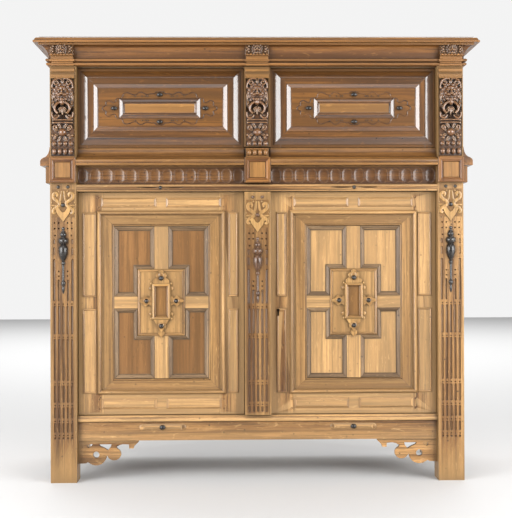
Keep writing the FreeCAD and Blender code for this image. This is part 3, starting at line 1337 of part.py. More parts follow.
os.makedirs("parts", exist_ok=True)
for piece in PIECES:
    piece.Shape.exportStep(f"parts/{piece.Label}.step")
print(len(PIECES), "nodes,", sum(len(piece.Shape.Solids) for piece in PIECES), "solids")
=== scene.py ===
import math
import random

import bmesh
import bpy
from mathutils import Matrix, Vector


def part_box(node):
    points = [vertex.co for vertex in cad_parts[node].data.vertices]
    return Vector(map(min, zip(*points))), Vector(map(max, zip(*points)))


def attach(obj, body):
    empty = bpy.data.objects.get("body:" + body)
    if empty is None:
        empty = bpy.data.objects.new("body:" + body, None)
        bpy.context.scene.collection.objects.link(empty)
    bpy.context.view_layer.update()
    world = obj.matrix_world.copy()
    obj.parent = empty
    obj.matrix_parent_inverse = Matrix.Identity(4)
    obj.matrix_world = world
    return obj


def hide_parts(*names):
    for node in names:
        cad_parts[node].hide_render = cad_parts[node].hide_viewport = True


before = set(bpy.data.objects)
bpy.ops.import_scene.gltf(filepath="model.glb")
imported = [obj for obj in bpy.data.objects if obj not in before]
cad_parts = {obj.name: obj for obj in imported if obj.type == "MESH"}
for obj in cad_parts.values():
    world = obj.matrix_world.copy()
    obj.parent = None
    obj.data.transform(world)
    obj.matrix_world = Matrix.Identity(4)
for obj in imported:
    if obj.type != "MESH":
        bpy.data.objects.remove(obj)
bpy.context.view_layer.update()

bl_info = {
    "name": "Court cupboard",
    "version": (1, 0, 0),
    "blender": (4, 5, 0),
    "location": "3D View > Sidebar > Cupboard",
    "description": "Dresses the cupboard's frame in carved and waxed oak",
    "category": "Object",
}

MM = 0.001
BOX = {node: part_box(node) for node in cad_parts}


def low(node, axis):
    return BOX[node][0][axis]


def high(node, axis):
    return BOX[node][1][axis]


SLAB_TONES = ((0.045, 0.014, 0.0030), (0.135, 0.055, 0.0125), (0.270, 0.130, 0.036))
DOOR_TONES = ((0.022, 0.0060, 0.0010), (0.072, 0.0255, 0.0038), (0.160, 0.068, 0.0115))
TABLET_TONES = ((0.060, 0.022, 0.005), (0.150, 0.068, 0.016), (0.270, 0.140, 0.042))
LOWER_TONES = ((0.085, 0.038, 0.0120), (0.240, 0.134, 0.049), (0.440, 0.282, 0.124))
POST_TONES = ((0.100, 0.046, 0.0140), (0.200, 0.108, 0.036), (0.330, 0.203, 0.080))
GROUND_TONES = ((0.050, 0.019, 0.004), (0.120, 0.055, 0.014), (0.200, 0.105, 0.030))
# The moulding oak's greyish tones are partly a painted sheen: they stand in for light reflected off the
# polished slopes.
MOULDING_SHEEN_TONES = ((0.066, 0.038, 0.019), (0.150, 0.096, 0.050), (0.260, 0.180, 0.102))
RED_TONES = ((0.046, 0.017, 0.0040), (0.112, 0.048, 0.0125), (0.210, 0.105, 0.033))
CARVED_TONES = ((0.034, 0.012, 0.0035), (0.190, 0.092, 0.030), (0.560, 0.360, 0.170))
SCROLL_TONES = ((0.125, 0.058, 0.0170), (0.265, 0.148, 0.050), (0.400, 0.255, 0.100))
INNER_TONES = ((0.100, 0.062, 0.034), (0.170, 0.112, 0.064), (0.240, 0.165, 0.098))
EBONY_TONES = ((0.006, 0.005, 0.004), (0.024, 0.018, 0.014))
RUBBED_EBONY = (0.11, 0.085, 0.065)
WORN_EBONY_TONES = ((0.030, 0.014, 0.007), (0.130, 0.062, 0.028))
RUBBED_BROWN = (0.30, 0.18, 0.10)
IRON_TONES = ((0.030, 0.028, 0.027), (0.095, 0.088, 0.082))
RUST = (0.16, 0.065, 0.03)

# Name, dark to light colours, roughness where waxed, weight of the wax coat and other settings
OAKS = {
    "upper_oak": ("Top and cornice oak", SLAB_TONES, 0.34, 0.35, {}),
    "door_oak": ("Upper door oak", DOOR_TONES, 0.42, 1.0, {"shine": 1.7, "haze": 0.12}),
    "tablet_oak": ("Tablet oak", TABLET_TONES, 0.34, 0.35, {}),
    "lower_oak": ("Lower oak", LOWER_TONES, 0.38, 0.35, {}),
    # The post oak takes less of the dirt and painted shade in its crevices.
    "post_oak": ("Post oak", POST_TONES, 0.38, 0.35, {"dirt_and_shade_weight": 0.62}),
    "ground_oak": ("Dark ground oak", GROUND_TONES, 0.45, 0.35, {}),
    # Moulding oak: its greyish colour is partly a painted sheen on the slopes.
    "moulding_oak": ("Rubbed moulding oak", MOULDING_SHEEN_TONES, 0.46, 0.12, {}),
    "red_oak": ("Red brown oak", RED_TONES, 0.36, 0.35, {}),
    # The carved oak's high spots take a brighter rub, partly a painted highlight.
    "carved_oak": ("Carved oak", CARVED_TONES, 0.28, 0.9, {"carved": True}),
    "scroll_oak": ("Scroll oak", SCROLL_TONES, 0.34, 0.35, {}),
    "inner_upright": ("Inner oak upright", INNER_TONES, 0.6, 0.35, {"along": "Z"}),
    "inner_level": ("Inner oak level", INNER_TONES, 0.6, 0.35, {"along": "X"}),
    "inner_deep": ("Inner oak front to back", INNER_TONES, 0.6, 0.35, {"along": "Y"}),
}


def distance(name, description, default, least, most):
    """A length that the panel offers; its values are given in millimetres."""
    return bpy.props.FloatProperty(name=name, description=description, default=default * MM, min=least * MM,
                                   max=most * MM, precision=4, subtype="DISTANCE", unit="LENGTH")


class CupboardSizes(bpy.types.PropertyGroup):
    """Sizes of the carved and moulded work."""
    flute_pitch: distance("Flute pitch", "Distance between the posts' flutes", default=17.5, least=12,
                          most=19)
    flute_radius: distance("Flute half width", "Half a post flute's width", default=4.8, least=2, most=6)
    flute_deep: distance("Flute depth", "How deep the post flutes are cut", default=5.0, least=1, most=8)
    band_flutes: bpy.props.IntProperty(
        name="Band flutes", description="Broad flutes on each half of the waist band",
        default=14, min=4, max=20)
    band_deep: distance("Band flute depth", "Depth of the waist band's flutes", default=3.4, least=1, most=5)
    peg_radius: distance("Peg radius", "Radius of the pegs in the door joints", default=5, least=2, most=8)
    soft_edge: distance("Worn edge", "Width of the rounding along boards and mouldings",
                        default=0.8, least=0.1, most=2)


class CupboardColours(bpy.types.PropertyGroup):
    """Dark, middle and light colour of every oak."""


SHADES = ("dark", "middle", "light")
for oak_key, (oak_label, oak_tones, *_) in OAKS.items():
    for shade, tone in zip(SHADES, oak_tones):
        CupboardColours.__annotations__[f"{oak_key}_{shade}"] = bpy.props.FloatVectorProperty(
            name=f"{oak_label}, {shade}",
            description=f"The {shade} colour in the figure of the {oak_label.lower()}",
            size=3, min=0.0, max=1.0, default=tone, subtype="COLOR")


def chosen():
    """The sizes set in the panel."""
    return bpy.context.scene.cupboard_sizes


# Planes and places read from the frame, in metres
FACE = high("mask_consoles", 1)
DOOR_FACE = high("lower_pilaster_centre", 1)
DOOR_BACK = high("lower_door_left_frame", 1)
BODY_HALF = high("corner_post_front_right", 0)
POST_IN = low("corner_post_front_right", 0)
POST_BACK = high("corner_post_front_right", 1)
POST_MIDDLE = (BODY_HALF + POST_IN) / 2
SLAB_LOW = low("top_board", 2)
BACK = high("top_board", 1)
REAR_POST_FRONT = low("rear_posts", 1)
CENTRE_HALF = high("lower_pilaster_centre", 0)
HINGE_EDGE = high("lower_door_right_frame", 0)
PILASTERS = (("left", -POST_MIDDLE), ("centre", 0.0), ("right", POST_MIDDLE))
SIDES = (("left", -1), ("right", 1))
HANDS = (-1, 1)
ALONG = {"X": (1, 2, 0), "Y": (0, 2, 1), "Z": (0, 1, 2)}
LET_IN = 1 * MM
JOINT_GAP = 0.3 * MM
PATTERN_SHIFT = 3.0


class Wood:
    """Boards, mouldings and carving of one piece, with the run of the grain kept on every vertex."""

    def __init__(self, seed):
        self.bm = bmesh.new()
        self.take_layers()
        self.draw = random.Random(seed)

    def take_layers(self):
        """Find or make the layers for the run of the grain, the board's tone and rounded work."""
        layers = self.bm.verts.layers
        self.grain = layers.float_vector.get("grain") or layers.float_vector.new("grain")
        self.tone = layers.float.get("tone") or layers.float.new("tone")
        self.rounded = layers.int.get("rounded") or layers.int.new("rounded")

    def mark(self, verts, along, rounded=False):
        """Each board takes its own stretch of timber: a shift of the pattern and a tone."""
        order = ALONG[along]
        shift = Vector([self.draw.uniform(-PATTERN_SHIFT, PATTERN_SHIFT) for _ in order])
        tone = self.draw.random()
        for vert in verts:
            vert[self.grain] = Vector([vert.co[axis] for axis in order]) + shift
            vert[self.tone] = tone
            if rounded:
                vert[self.rounded] = 1

    def board(self, x, y, z, along="Z"):
        """A squared board between low and high values along each axis."""
        size = [ends[1] - ends[0] for ends in (x, y, z)]
        middle = Vector([(ends[1] + ends[0]) / 2 for ends in (x, y, z)])
        place = Matrix.Translation(middle) @ Matrix.Diagonal((*size, 1.0))
        self.mark(bmesh.ops.create_cube(self.bm, size=1.0, matrix=place)["verts"], along)

    def block(self, x, y, z, ends, along="Z"):
        """A board whose ends along X, Y and Z are in millimetres about a place."""
        self.board(*[[place + end * MM for end in pair] for place, pair in zip((x, y, z), ends)], along)

    def run(self, starts, ends, along):
        """A length of moulding from one section to another with as many points."""
        verts = [self.bm.verts.new(point) for point in starts]
        face = self.bm.faces.new(verts)
        grown = bmesh.ops.extrude_face_region(self.bm, geom=[face])["geom"]
        moved = [item for item in grown if isinstance(item, bmesh.types.BMVert)]
        spots = {rounded_point(point): end for point, end in zip(starts, ends)}
        for vert in moved:
            vert.co = spots[rounded_point(vert.co)]
        self.mark(verts + moved, along)

    def across(self, x_ends, back, profile):
        """A moulding along X; a profile point is (out from the back, height)."""
        starts, ends = [[Vector((x, back - reach, level)) for reach, level in profile] for x in x_ends]
        self.run(starts, ends, "X")

    def mitred(self, path, profile, plane="XZ", closed=True):
        """Mitred lengths round a path of square corners. A profile point is (in from the path, level)."""
        count = len(path)
        steps = count if closed else count - 1
        sides = [(Vector(path[place]), Vector(path[(place + 1) % count])) for place in range(steps)]
        normals = []
        for a, b in sides:
            way = (b - a).normalized()
            normals.append(Vector((-way.y, way.x)))
        for place, (a, b) in enumerate(sides):
            here = normals[place]
            before = normals[place - 1] if closed or place else Vector((0, 0))
            after = normals[(place + 1) % steps] if closed or place < steps - 1 else Vector((0, 0))
            starts = [into_world(a + (here + before) * reach, level, plane) for reach, level in profile]
            ends = [into_world(b + (here + after) * reach, level, plane) for reach, level in profile]
            way = b - a
            flat = abs(way.x) > abs(way.y)
            self.run(starts, ends, "X" if flat else ("Z" if plane == "XZ" else "Y"))

    def ball(self, centre, sizes, along="Z", steps=12):
        """A boss or bead; its half sizes along X, Y and Z are in millimetres."""
        place = Matrix.Translation(Vector(centre)) @ Matrix.Diagonal((*[size * MM for size in sizes], 1.0))
        made = bmesh.ops.create_uvsphere(self.bm, u_segments=steps, v_segments=steps // 2 + 1, radius=1.0,
                                         matrix=place)["verts"]
        self.mark(made, along, rounded=True)

    def balls(self, x, y, z, table, hand=1, along="Z", steps=12):
        """Bosses and beads from a table of (across, up, out, half sizes) in millimetres about a place."""
        for across, up, out, sizes in table:
            self.ball((x + hand * across * MM, y - out * MM, z + up * MM), sizes, along, steps)

    def half_turned(self, profile, centre, steps=16):
        """A turning split flat at the back, from a table of (radius, height) in millimetres."""
        rings = []
        for radius, height in profile:
            ring = []
            for place in range(steps + 1):
                angle = math.pi * place / steps
                aside = Vector((-radius * MM * math.cos(angle), -radius * MM * math.sin(angle), height * MM))
                ring.append(self.bm.verts.new(Vector(centre) + aside))
            rings.append(ring)
        for upper, lower in zip(rings, rings[1:]):
            for here in range(steps):
                self.bm.faces.new((upper[here], lower[here], lower[here + 1], upper[here + 1]))
        self.bm.faces.new([ring[0] for ring in rings] + [ring[-1] for ring in reversed(rings)])
        for ring in (rings[0], rings[-1]):
            self.bm.faces.new(ring)
        self.mark([vert for ring in rings for vert in ring], "Z", rounded=True)

    def add(self, mesh, along="Z", rounded=True):
        """Take in a finished mesh, such as one made from a curve."""
        before = set(self.bm.verts)
        self.bm.from_mesh(mesh)
        bpy.data.meshes.remove(mesh)
        self.mark([vert for vert in self.bm.verts if vert not in before], along, rounded)

    def finish(self, name, body, slot, material, replaced=(), soften=None):
        """Make the object in one of the finishes, soften its edges and hand it to the frame."""
        bmesh.ops.recalc_face_normals(self.bm, faces=self.bm.faces[:])
        mesh = bpy.data.meshes.new(name)
        self.bm.to_mesh(mesh)
        self.bm.free()
        piece = in_scene(name, mesh)
        width = chosen().soft_edge if soften is None else soften
        if width:
            bevel = piece.modifiers.new("softened edges", "BEVEL")
            bevel.width = width
            bevel.segments = 2
            bevel.limit_method = "ANGLE"
            bevel.angle_limit = SOFTENED_ANGLE
        for polygon in mesh.polygons:
            polygon.use_smooth = True
        keep_sharp_edges(mesh)
        mesh.materials.append(finishes()[material])
        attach(piece, body)
        if replaced:
            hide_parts(*replaced)
        return piece


SOFTENED_ANGLE = math.radians(34)
SHARP_ANGLE = math.radians(14)
SHARP_ROUNDED_ANGLE = math.radians(38)
MATCHING_DIGITS = 7


def rounded_point(point):
    return tuple(round(value, MATCHING_DIGITS) for value in point)


def in_scene(name, data):
    made = bpy.data.objects.new(name, data)
    bpy.context.scene.collection.objects.link(made)
    return made


def keep_sharp_edges(mesh):
    """Sharp edges stay sharp under smooth shading; carved and turned work is smoother than mouldings."""
    sharp = bmesh.new()
    sharp.from_mesh(mesh)
    rounded = sharp.verts.layers.int.get("rounded")
    for edge in sharp.edges:
        limit = SHARP_ROUNDED_ANGLE if all(vert[rounded] for vert in edge.verts) else SHARP_ANGLE
        if len(edge.link_faces) == 2 and edge.calc_face_angle(0) > limit:
            edge.smooth = False
    sharp.to_mesh(mesh)
    sharp.free()


def into_world(point, level, plane):
    if plane == "XZ":
        return Vector((point.x, level, point.y))
    return Vector((point.x, point.y, level))


def spread(middle, half):
    """Low and high ends about a middle."""
    return middle - half, middle + half


def both(hand, near, far):
    """Low and high ends of a stretch given outwards from the middle line, on either hand."""
    return sorted((hand * near, hand * far))


def section(points, level, way=-1):
    """A section from a table of (reach, rise off the level) in millimetres; a front rises towards -Y."""
    return [(reach * MM, level + way * rise * MM) for reach, rise in points]


def placed(points, x, z, hand=1):
    """Front-view points from a table of (across, up) in millimetres about a place."""
    return [(x + hand * across * MM, z + up * MM) for across, up in points]


def stem(points, x, z, level, hand=1):
    """A strap's points from a table of (across, up, share of the radius) in millimetres about a place."""
    return [(x + hand * across * MM, z + up * MM, level, share) for across, up, share in points]


def rectangle(x, z, half, half_high):
    """Corners in the order that puts the inside on the left of each side."""
    return [(x - half, z - half_high), (x + half, z - half_high),
            (x + half, z + half_high), (x - half, z + half_high)]


def arc(centre, radius, start, end, steps, squash=1.0):
    """Points along a round stretch, angles in degrees."""
    points = []
    for place in range(steps + 1):
        angle = math.radians(start + (end - start) * place / steps)
        points.append((centre[0] + radius * math.cos(angle), centre[1] + squash * radius * math.sin(angle)))
    return points


def mesh_of(holder):
    """The mesh that an object shows, with its curve or modifiers worked out."""
    shown = holder.evaluated_get(bpy.context.evaluated_depsgraph_get())
    return bpy.data.meshes.new_from_object(shown)


def mesh_from_curve(curve):
    holder = in_scene(curve.name, curve)
    mesh = mesh_of(holder)
    bpy.data.objects.remove(holder)
    bpy.data.curves.remove(curve)
    return mesh


def strap(points, radius, flat, resolution=4, cyclic=False):
    """A carved strap or stem along front-view points; a point is (x, z, y, share of the radius)."""
    curve = bpy.data.curves.new("strap", "CURVE")
    curve.dimensions = "3D"
    curve.bevel_depth = radius
    curve.bevel_resolution = 2
    curve.use_fill_caps = True
    spline = curve.splines.new("NURBS")
    spline.points.add(len(points) - 1)
    for spot, (x, z, y, share) in zip(spline.points, points):
        spot.co = (x, y, z, 1.0)
        spot.radius = share
    spline.order_u = 4
    spline.use_endpoint_u = not cyclic
    spline.use_cyclic_u = cyclic
    spline.resolution_u = resolution
    mesh = mesh_from_curve(curve)
    level = points[0][2]
    flatten = Matrix.Diagonal((1, flat, 1, 1))
    mesh.transform(Matrix.Translation((0, level, 0)) @ flatten @ Matrix.Translation((0, -level, 0)))
    return mesh


CLOSE = 0.02 * MM


def flat_shape(loops, back, front):
    """A pierced board from closed front-view loops (first the outline, then the openings)."""
    curve = bpy.data.curves.new("pierced", "CURVE")
    curve.dimensions = "2D"
    curve.fill_mode = "BOTH"
    curve.extrude = (back - front) / 2
    for loop in loops:
        spline = curve.splines.new("POLY")
        spline.points.add(len(loop) - 1)
        for point, (x, z) in zip(spline.points, loop):
            point.co = (x, z, 0.0, 1.0)
        spline.use_cyclic_u = True
    mesh = mesh_from_curve(curve)
    mesh.transform(Matrix.Translation((0, (back + front) / 2, 0)) @ Matrix.Rotation(math.pi / 2, 4, "X"))
    bm = bmesh.new()
    bm.from_mesh(mesh)
    bmesh.ops.remove_doubles(bm, verts=bm.verts, dist=CLOSE)
    bm.to_mesh(mesh)
    bm.free()
    return mesh


def mesh_from_bmesh(name, bm):
    bmesh.ops.recalc_face_normals(bm, faces=bm.faces[:])
    mesh = bpy.data.meshes.new(name)
    bm.to_mesh(mesh)
    bm.free()
    return mesh


def carve(wood, cutters, along=None):
    """Take the cutters' shapes out of the wood; told the grain's run, it marks the whole wood anew."""
    uncut = mesh_from_bmesh("uncut", wood.bm)
    tool_mesh = mesh_from_bmesh("cutters", cutters)
    piece = in_scene("uncut", uncut)
    tool = in_scene("cutters", tool_mesh)
    boolean = piece.modifiers.new("cut", "BOOLEAN")
    boolean.operation = "DIFFERENCE"
    boolean.solver = "EXACT"
    boolean.use_self = True
    boolean.object = tool
    carved = mesh_of(piece)
    wood.bm = bmesh.new()
    wood.bm.from_mesh(carved)
    wood.take_layers()
    for thing in (piece, tool):
        bpy.data.objects.remove(thing)
    for mesh in (uncut, tool_mesh, carved):
        bpy.data.meshes.remove(mesh)
    if along:
        wood.mark(wood.bm.verts, along)


def flute(bm, x, face, low_z, high_z, half, deep, steps=12):
    """A flute's cutter: as wide and deep as told, with round ends."""
    made = bmesh.ops.create_uvsphere(bm, u_segments=steps, v_segments=7, radius=half)["verts"]
    for vert in made:
        vert.co.z += (high_z - half) if vert.co.z > half / 100 else (low_z + half)
        vert.co.y = face + vert.co.y * deep / half
        vert.co.x += x


def round_cutter(bm, x, y, z, radius, depth, segments):
    """The cutter of a round hole or peg, half of it behind the face."""
    place = Matrix.Translation((x, y, z)) @ Matrix.Rotation(math.pi / 2, 4, "X")
    bmesh.ops.create_cone(bm, segments=segments, radius1=radius, radius2=radius, depth=depth, cap_ends=True,
                          matrix=place)


DOT_DEPTH = 18 * MM


def pit(bm, x, y, z, radius, depth=DOT_DEPTH):
    """A punched dot's cutter."""
    round_cutter(bm, x, y, z, radius, depth, segments=10)


def slit(bm, x, face, z, half, half_high, deep):
    """A long pointed nick's cutter."""
    place = Matrix.Translation((x, face, z)) @ Matrix.Diagonal((half, deep, half_high, 1.0))
    bmesh.ops.create_uvsphere(bm, u_segments=16, v_segments=9, radius=1.0, matrix=place)


# Each figure's frequency across, through and along the grain, its detail, roughness and distortion
FIGURES = {
    "bands": ((26.0, 26.0, 1.1), 3.0, 0.55, 0.6),
    "fibres": ((420.0, 420.0, 7.0), 3.0, 0.55, 0.0),
    "streaks": ((110.0, 110.0, 2.4), 4.0, 0.65, 0.0),
    "pores": ((900.0, 900.0, 26.0), 1.0, 0.55, 0.0),
    "flecks": ((160.0, 60.0, 22.0), 2.0, 0.55, 1.2),
    "blotches": ((5.0, 5.0, 2.0), 3.0, 0.55, 0.0),
    "ebony streaks": ((220.0, 220.0, 12.0), 3.0, 0.55, 0.0),
    "iron spots": ((120.0, 120.0, 120.0), 5.0, 0.55, 0.0),
    "rust": ((35.0, 35.0, 35.0), 4.0, 0.55, 0.0),
}

# Two places along a source, and the grey that stands at each
MASKS = {
    "streaks": ((0.38, 0.85), (0.54, 0.0)),
    "pores": ((0.30, 0.85), (0.40, 0.0)),
    "flecks": ((0.62, 0.0), (0.72, 0.42)),
    "holes": ((0.07, 0.85), (0.11, 0.0)),
    # Dirt and painted shade in crevices and joints
    "dirt_and_shade": ((0.40, 1.0), (0.93, 0.0)),
    # Painted shade in deep recesses beside proud parts
    "recess_shade": ((0.50, 0.85), (0.92, 0.0)),
    "worn": ((0.515, 0.0), (0.57, 0.35)),
    # Rubbed high spots on carving, also a painted highlight
    "rubbed and highlit carving": ((0.515, 0.0), (0.60, 0.6)),
    "worn ebony": ((0.54, 0.0), (0.64, 0.5)),
    "ebony polish": ((0.3, 0.16), (0.7, 0.34)),
    "rust": ((0.52, 0.0), (0.68, 0.7)),
    "iron polish": ((0.3, 0.42), (0.7, 0.72)),
    "backdrop": ((0.05, 0.26), (0.35, 0.9)),
}

BAND_PLACES = (0.32, 0.47, 0.66)
TIMBER_TONES = ((0.0, (0.78, 0.74, 0.70)), (1.0, (1.16, 1.14, 1.12)))
STAIN_TONES = ((0.32, (0.80, 0.76, 0.72)), (0.62, (1.08, 1.07, 1.05)))
EBONY_PLACES = (0.35, 0.7)
IRON_PLACES = (0.35, 0.7)
DULL_PLACES = (0.15, 0.8)
DULLER_BY = 0.34

# Shares of the oak's own dark or light tone that the layers over it take
STREAK_SHARE = 0.72
PORE_SHARE = 0.45
HOLE_SHARE = 0.3
# Share of the dark tone for the dirt and painted shade in crevices
DIRT_AND_SHADE_SHARE = 0.22
# Share of the dark tone for the painted shade in recesses
RECESS_SHADE_SHARE = 0.75
FIBRE_SHARE = 1.12
FLECK_SHARE = 1.25
WORN_SHARE = 1.22
# Carving's high spots: rubbed wear and a painted highlight
RUBBED_AND_HIGHLIT_CARVING_SHARE = 1.5

FIBRE_WEIGHT = 0.55
HOLES_PER_METRE = 24.0
# Reach of the darkening in crevices, which is real dirt and painted shade
CREVICE_REACH = 20 * MM
CARVED_CREVICE_REACH = 13 * MM
# Reach of the painted shade in recesses beside proud parts
RECESS_REACH = 75 * MM
FULL = 1.0
DULL_WEIGHTS = {"streaks": 0.5, "dirt_and_shade": 0.6}
BUMP_WEIGHTS = {"fibres": 0.35, "pores": 0.5, "streaks": 0.6}


def ramp(tree, source, stops):
    made = tree.nodes.new("ShaderNodeValToRGB")
    band = made.color_ramp
    while len(band.elements) < len(stops):
        band.elements.new(0.5)
    for element, (place, colour) in zip(band.elements, stops):
        element.position = place
        element.color = (*colour, 1.0)
    tree.links.new(source, made.inputs[0])
    return made.outputs["Color"]


def mask(tree, source, key):
    """A grey ramp over a source, from the table of masks."""
    return ramp(tree, source, [(place, (grey,) * 3) for place, grey in MASKS[key]])


def put(tree, socket, value):
    """Link a socket to an input, or set the input to a number or a colour."""
    if isinstance(value, bpy.types.NodeSocket):
        tree.links.new(value, socket)
    elif isinstance(value, (int, float)):
        socket.default_value = value
    else:
        socket.default_value = (*value, 1.0)


def mixed(tree, share, first, second, blend="MIX"):
    """A colour mix; each of share, first and second is a socket or a value."""
    made = tree.nodes.new("ShaderNodeMix")
    made.data_type = "RGBA"
    made.blend_type = blend
    for number, value in ((0, share), (6, first), (7, second)):
        put(tree, made.inputs[number], value)
    return made.outputs[2]


def sums(tree, operation, first, second):
    made = tree.nodes.new("ShaderNodeMath")
    made.operation = operation
    for socket, value in zip(made.inputs, (first, second)):
        put(tree, socket, value)
    return made.outputs[0]


def blended(tree, weights, sources):
    """The weighted sum of some sources."""
    total = None
    for key, weight in weights.items():
        part = sums(tree, "MULTIPLY", sources[key], weight)
        total = part if total is None else sums(tree, "ADD", total, part)
    return total


def figure(tree, vector, key):
    """A stretched noise, from the table of figures."""
    stretch, detail, roughness, distortion = FIGURES[key]
    mapping = tree.nodes.new("ShaderNodeMapping")
    mapping.inputs["Scale"].default_value = stretch
    tree.links.new(vector, mapping.inputs["Vector"])
    made = tree.nodes.new("ShaderNodeTexNoise")
    made.inputs["Scale"].default_value = 1.0
    made.inputs["Detail"].default_value = detail
    made.inputs["Roughness"].default_value = roughness
    made.inputs["Distortion"].default_value = distortion
    tree.links.new(mapping.outputs[0], made.inputs["Vector"])
    return made.outputs["Fac"]


def bumped(tree, shader, source, strength, depth):
    bump = tree.nodes.new("ShaderNodeBump")
    bump.inputs["Strength"].default_value = strength
    bump.inputs["Distance"].default_value = depth
    tree.links.new(source, bump.inputs["Height"])
    tree.links.new(bump.outputs[0], shader.inputs["Normal"])


def attribute(tree, name, output):
    made = tree.nodes.new("ShaderNodeAttribute")
    made.attribute_name = name
    return made.outputs[output]


def open_to_light(tree, reach):
    """How open a place is: 0 deep in a corner and 1 on a free face."""
    made = tree.nodes.new("ShaderNodeAmbientOcclusion")
    made.samples = 6
    made.inputs["Distance"].default_value = reach
    return made.outputs["AO"]


def pointiness(tree):
    return tree.nodes.new("ShaderNodeNewGeometry").outputs["Pointiness"]


def new_material(name):
    material = bpy.data.materials.new(name)
    material.use_nodes = True
    return material, material.node_tree, material.node_tree.nodes["Principled BSDF"]


def grain_vector(tree, along=None):
    """The board's own pattern space, or for a frame node the object's space turned along its grain."""
    if along is None:
        return attribute(tree, "grain", "Vector")
    place = tree.nodes.new("ShaderNodeTexCoord").outputs["Object"]
    parts = tree.nodes.new("ShaderNodeSeparateXYZ")
    tree.links.new(place, parts.inputs[0])
    joined = tree.nodes.new("ShaderNodeCombineXYZ")
    for target, axis in enumerate(ALONG[along]):
        tree.links.new(parts.outputs[axis], joined.inputs[target])
    return joined.outputs[0]


def oak_figure(tree, vector, figures, dark, middle, light):
    """The wood's own colour: growth bands, streaks, long fibres, open pores, ray flecks and wormholes."""
    base = ramp(tree, figures["bands"], list(zip(BAND_PLACES, (dark, middle, light))))
    streaked = mixed(tree, mask(tree, figures["streaks"], "streaks"), base, dark * STREAK_SHARE)
    fibres = sums(tree, "MULTIPLY", figures["fibres"], FIBRE_WEIGHT)
    fibred = mixed(tree, fibres, streaked, light * FIBRE_SHARE, "OVERLAY")
    porous = mixed(tree, mask(tree, figures["pores"], "pores"), fibred, dark * PORE_SHARE)
    flecked = mixed(tree, mask(tree, figures["flecks"], "flecks"), porous, light * FLECK_SHARE)
    holes = tree.nodes.new("ShaderNodeTexVoronoi")
    holes.inputs["Scale"].default_value = HOLES_PER_METRE
    tree.links.new(vector, holes.inputs["Vector"])
    return mixed(tree, mask(tree, holes.outputs["Distance"], "holes"), flecked, dark * HOLE_SHARE)


def oak(name, colours, gloss, along=None, carved=False, coat=0.35, shine=1.5, haze=0.28, dirt_and_shade_weight=0.9):
    """Old waxed oak, with dirt and painted shade in the corners, painted shade in the recesses, and rubbed
    edges that on carving are also a painted highlight.
    """
    material, tree, shader = new_material(name)
    vector = grain_vector(tree, along)
    dark, middle, light = (Vector(colour) for colour in colours)
    figures = {key: figure(tree, vector, key)
               for key in ("bands", "fibres", "streaks", "pores", "flecks", "blotches")}
    grown = oak_figure(tree, vector, figures, dark, middle, light)
    timber = figures["blotches"] if along else attribute(tree, "tone", "Fac")
    toned = mixed(tree, FULL, grown, ramp(tree, timber, TIMBER_TONES), "MULTIPLY")
    stained = mixed(tree, FULL, toned, ramp(tree, figures["blotches"], STAIN_TONES), "MULTIPLY")
    # Darker in crevices and joints: real dirt and painted shade.
    dirt_and_shade = mask(tree, open_to_light(tree, CARVED_CREVICE_REACH if carved else CREVICE_REACH), "dirt_and_shade")
    dirtied_and_shaded = mixed(tree, sums(tree, "MULTIPLY", dirt_and_shade, dirt_and_shade_weight), stained, dark * DIRT_AND_SHADE_SHARE)
    # Painted shade: darker in deep recesses, such as beside the proud pilasters.
    recess_shaded = mixed(tree, mask(tree, open_to_light(tree, RECESS_REACH), "recess_shade"), dirtied_and_shaded, dark * RECESS_SHADE_SHARE)
    # Lighter rubbed high spots; on carving they are brighter, a painted highlight as well as wear.
    worn = mask(tree, pointiness(tree), "rubbed and highlit carving" if carved else "worn")
    rubbed = light * (RUBBED_AND_HIGHLIT_CARVING_SHARE if carved else WORN_SHARE)
    put(tree, shader.inputs["Base Color"], mixed(tree, worn, recess_shaded, rubbed))
    dull = blended(tree, DULL_WEIGHTS, {"streaks": figures["streaks"], "dirt_and_shade": dirt_and_shade})
    greys = ((gloss,) * 3, (gloss + DULLER_BY,) * 3)
    put(tree, shader.inputs["Roughness"], ramp(tree, dull, list(zip(DULL_PLACES, greys))))
    bumped(tree, shader, blended(tree, BUMP_WEIGHTS, figures), strength=0.35, depth=0.6 * MM)
    shader.inputs["Specular IOR Level"].default_value = haze
    shader.inputs["Coat Weight"].default_value = coat
    shader.inputs["Coat Roughness"].default_value = 0.16
    shader.inputs["Coat IOR"].default_value = shine
    return material


def ebony(name, colours, rubbed):
    """Ebonised and polished turnings, a little rubbed."""
    material, tree, shader = new_material(name)
    streaks = figure(tree, grain_vector(tree), "ebony streaks")
    base = ramp(tree, streaks, list(zip(EBONY_PLACES, colours)))
    worn = mask(tree, pointiness(tree), "worn ebony")
    put(tree, shader.inputs["Base Color"], mixed(tree, worn, base, rubbed))
    put(tree, shader.inputs["Roughness"], mask(tree, streaks, "ebony polish"))
    bumped(tree, shader, streaks, strength=0.2, depth=0.3 * MM)
    return material


def wrought_iron(name):
    """Dark forged iron with some rust."""
    material, tree, shader = new_material(name)
    place = tree.nodes.new("ShaderNodeTexCoord").outputs["Object"]
    spots = figure(tree, place, "iron spots")
    rusty = mask(tree, figure(tree, place, "rust"), "rust")
    base = ramp(tree, spots, list(zip(IRON_PLACES, IRON_TONES)))
    put(tree, shader.inputs["Base Color"], mixed(tree, rusty, base, RUST))
    put(tree, shader.inputs["Roughness"], mask(tree, spots, "iron polish"))
    shader.inputs["Metallic"].default_value = 0.7
    bumped(tree, shader, spots, strength=0.5, depth=0.6 * MM)
    return material


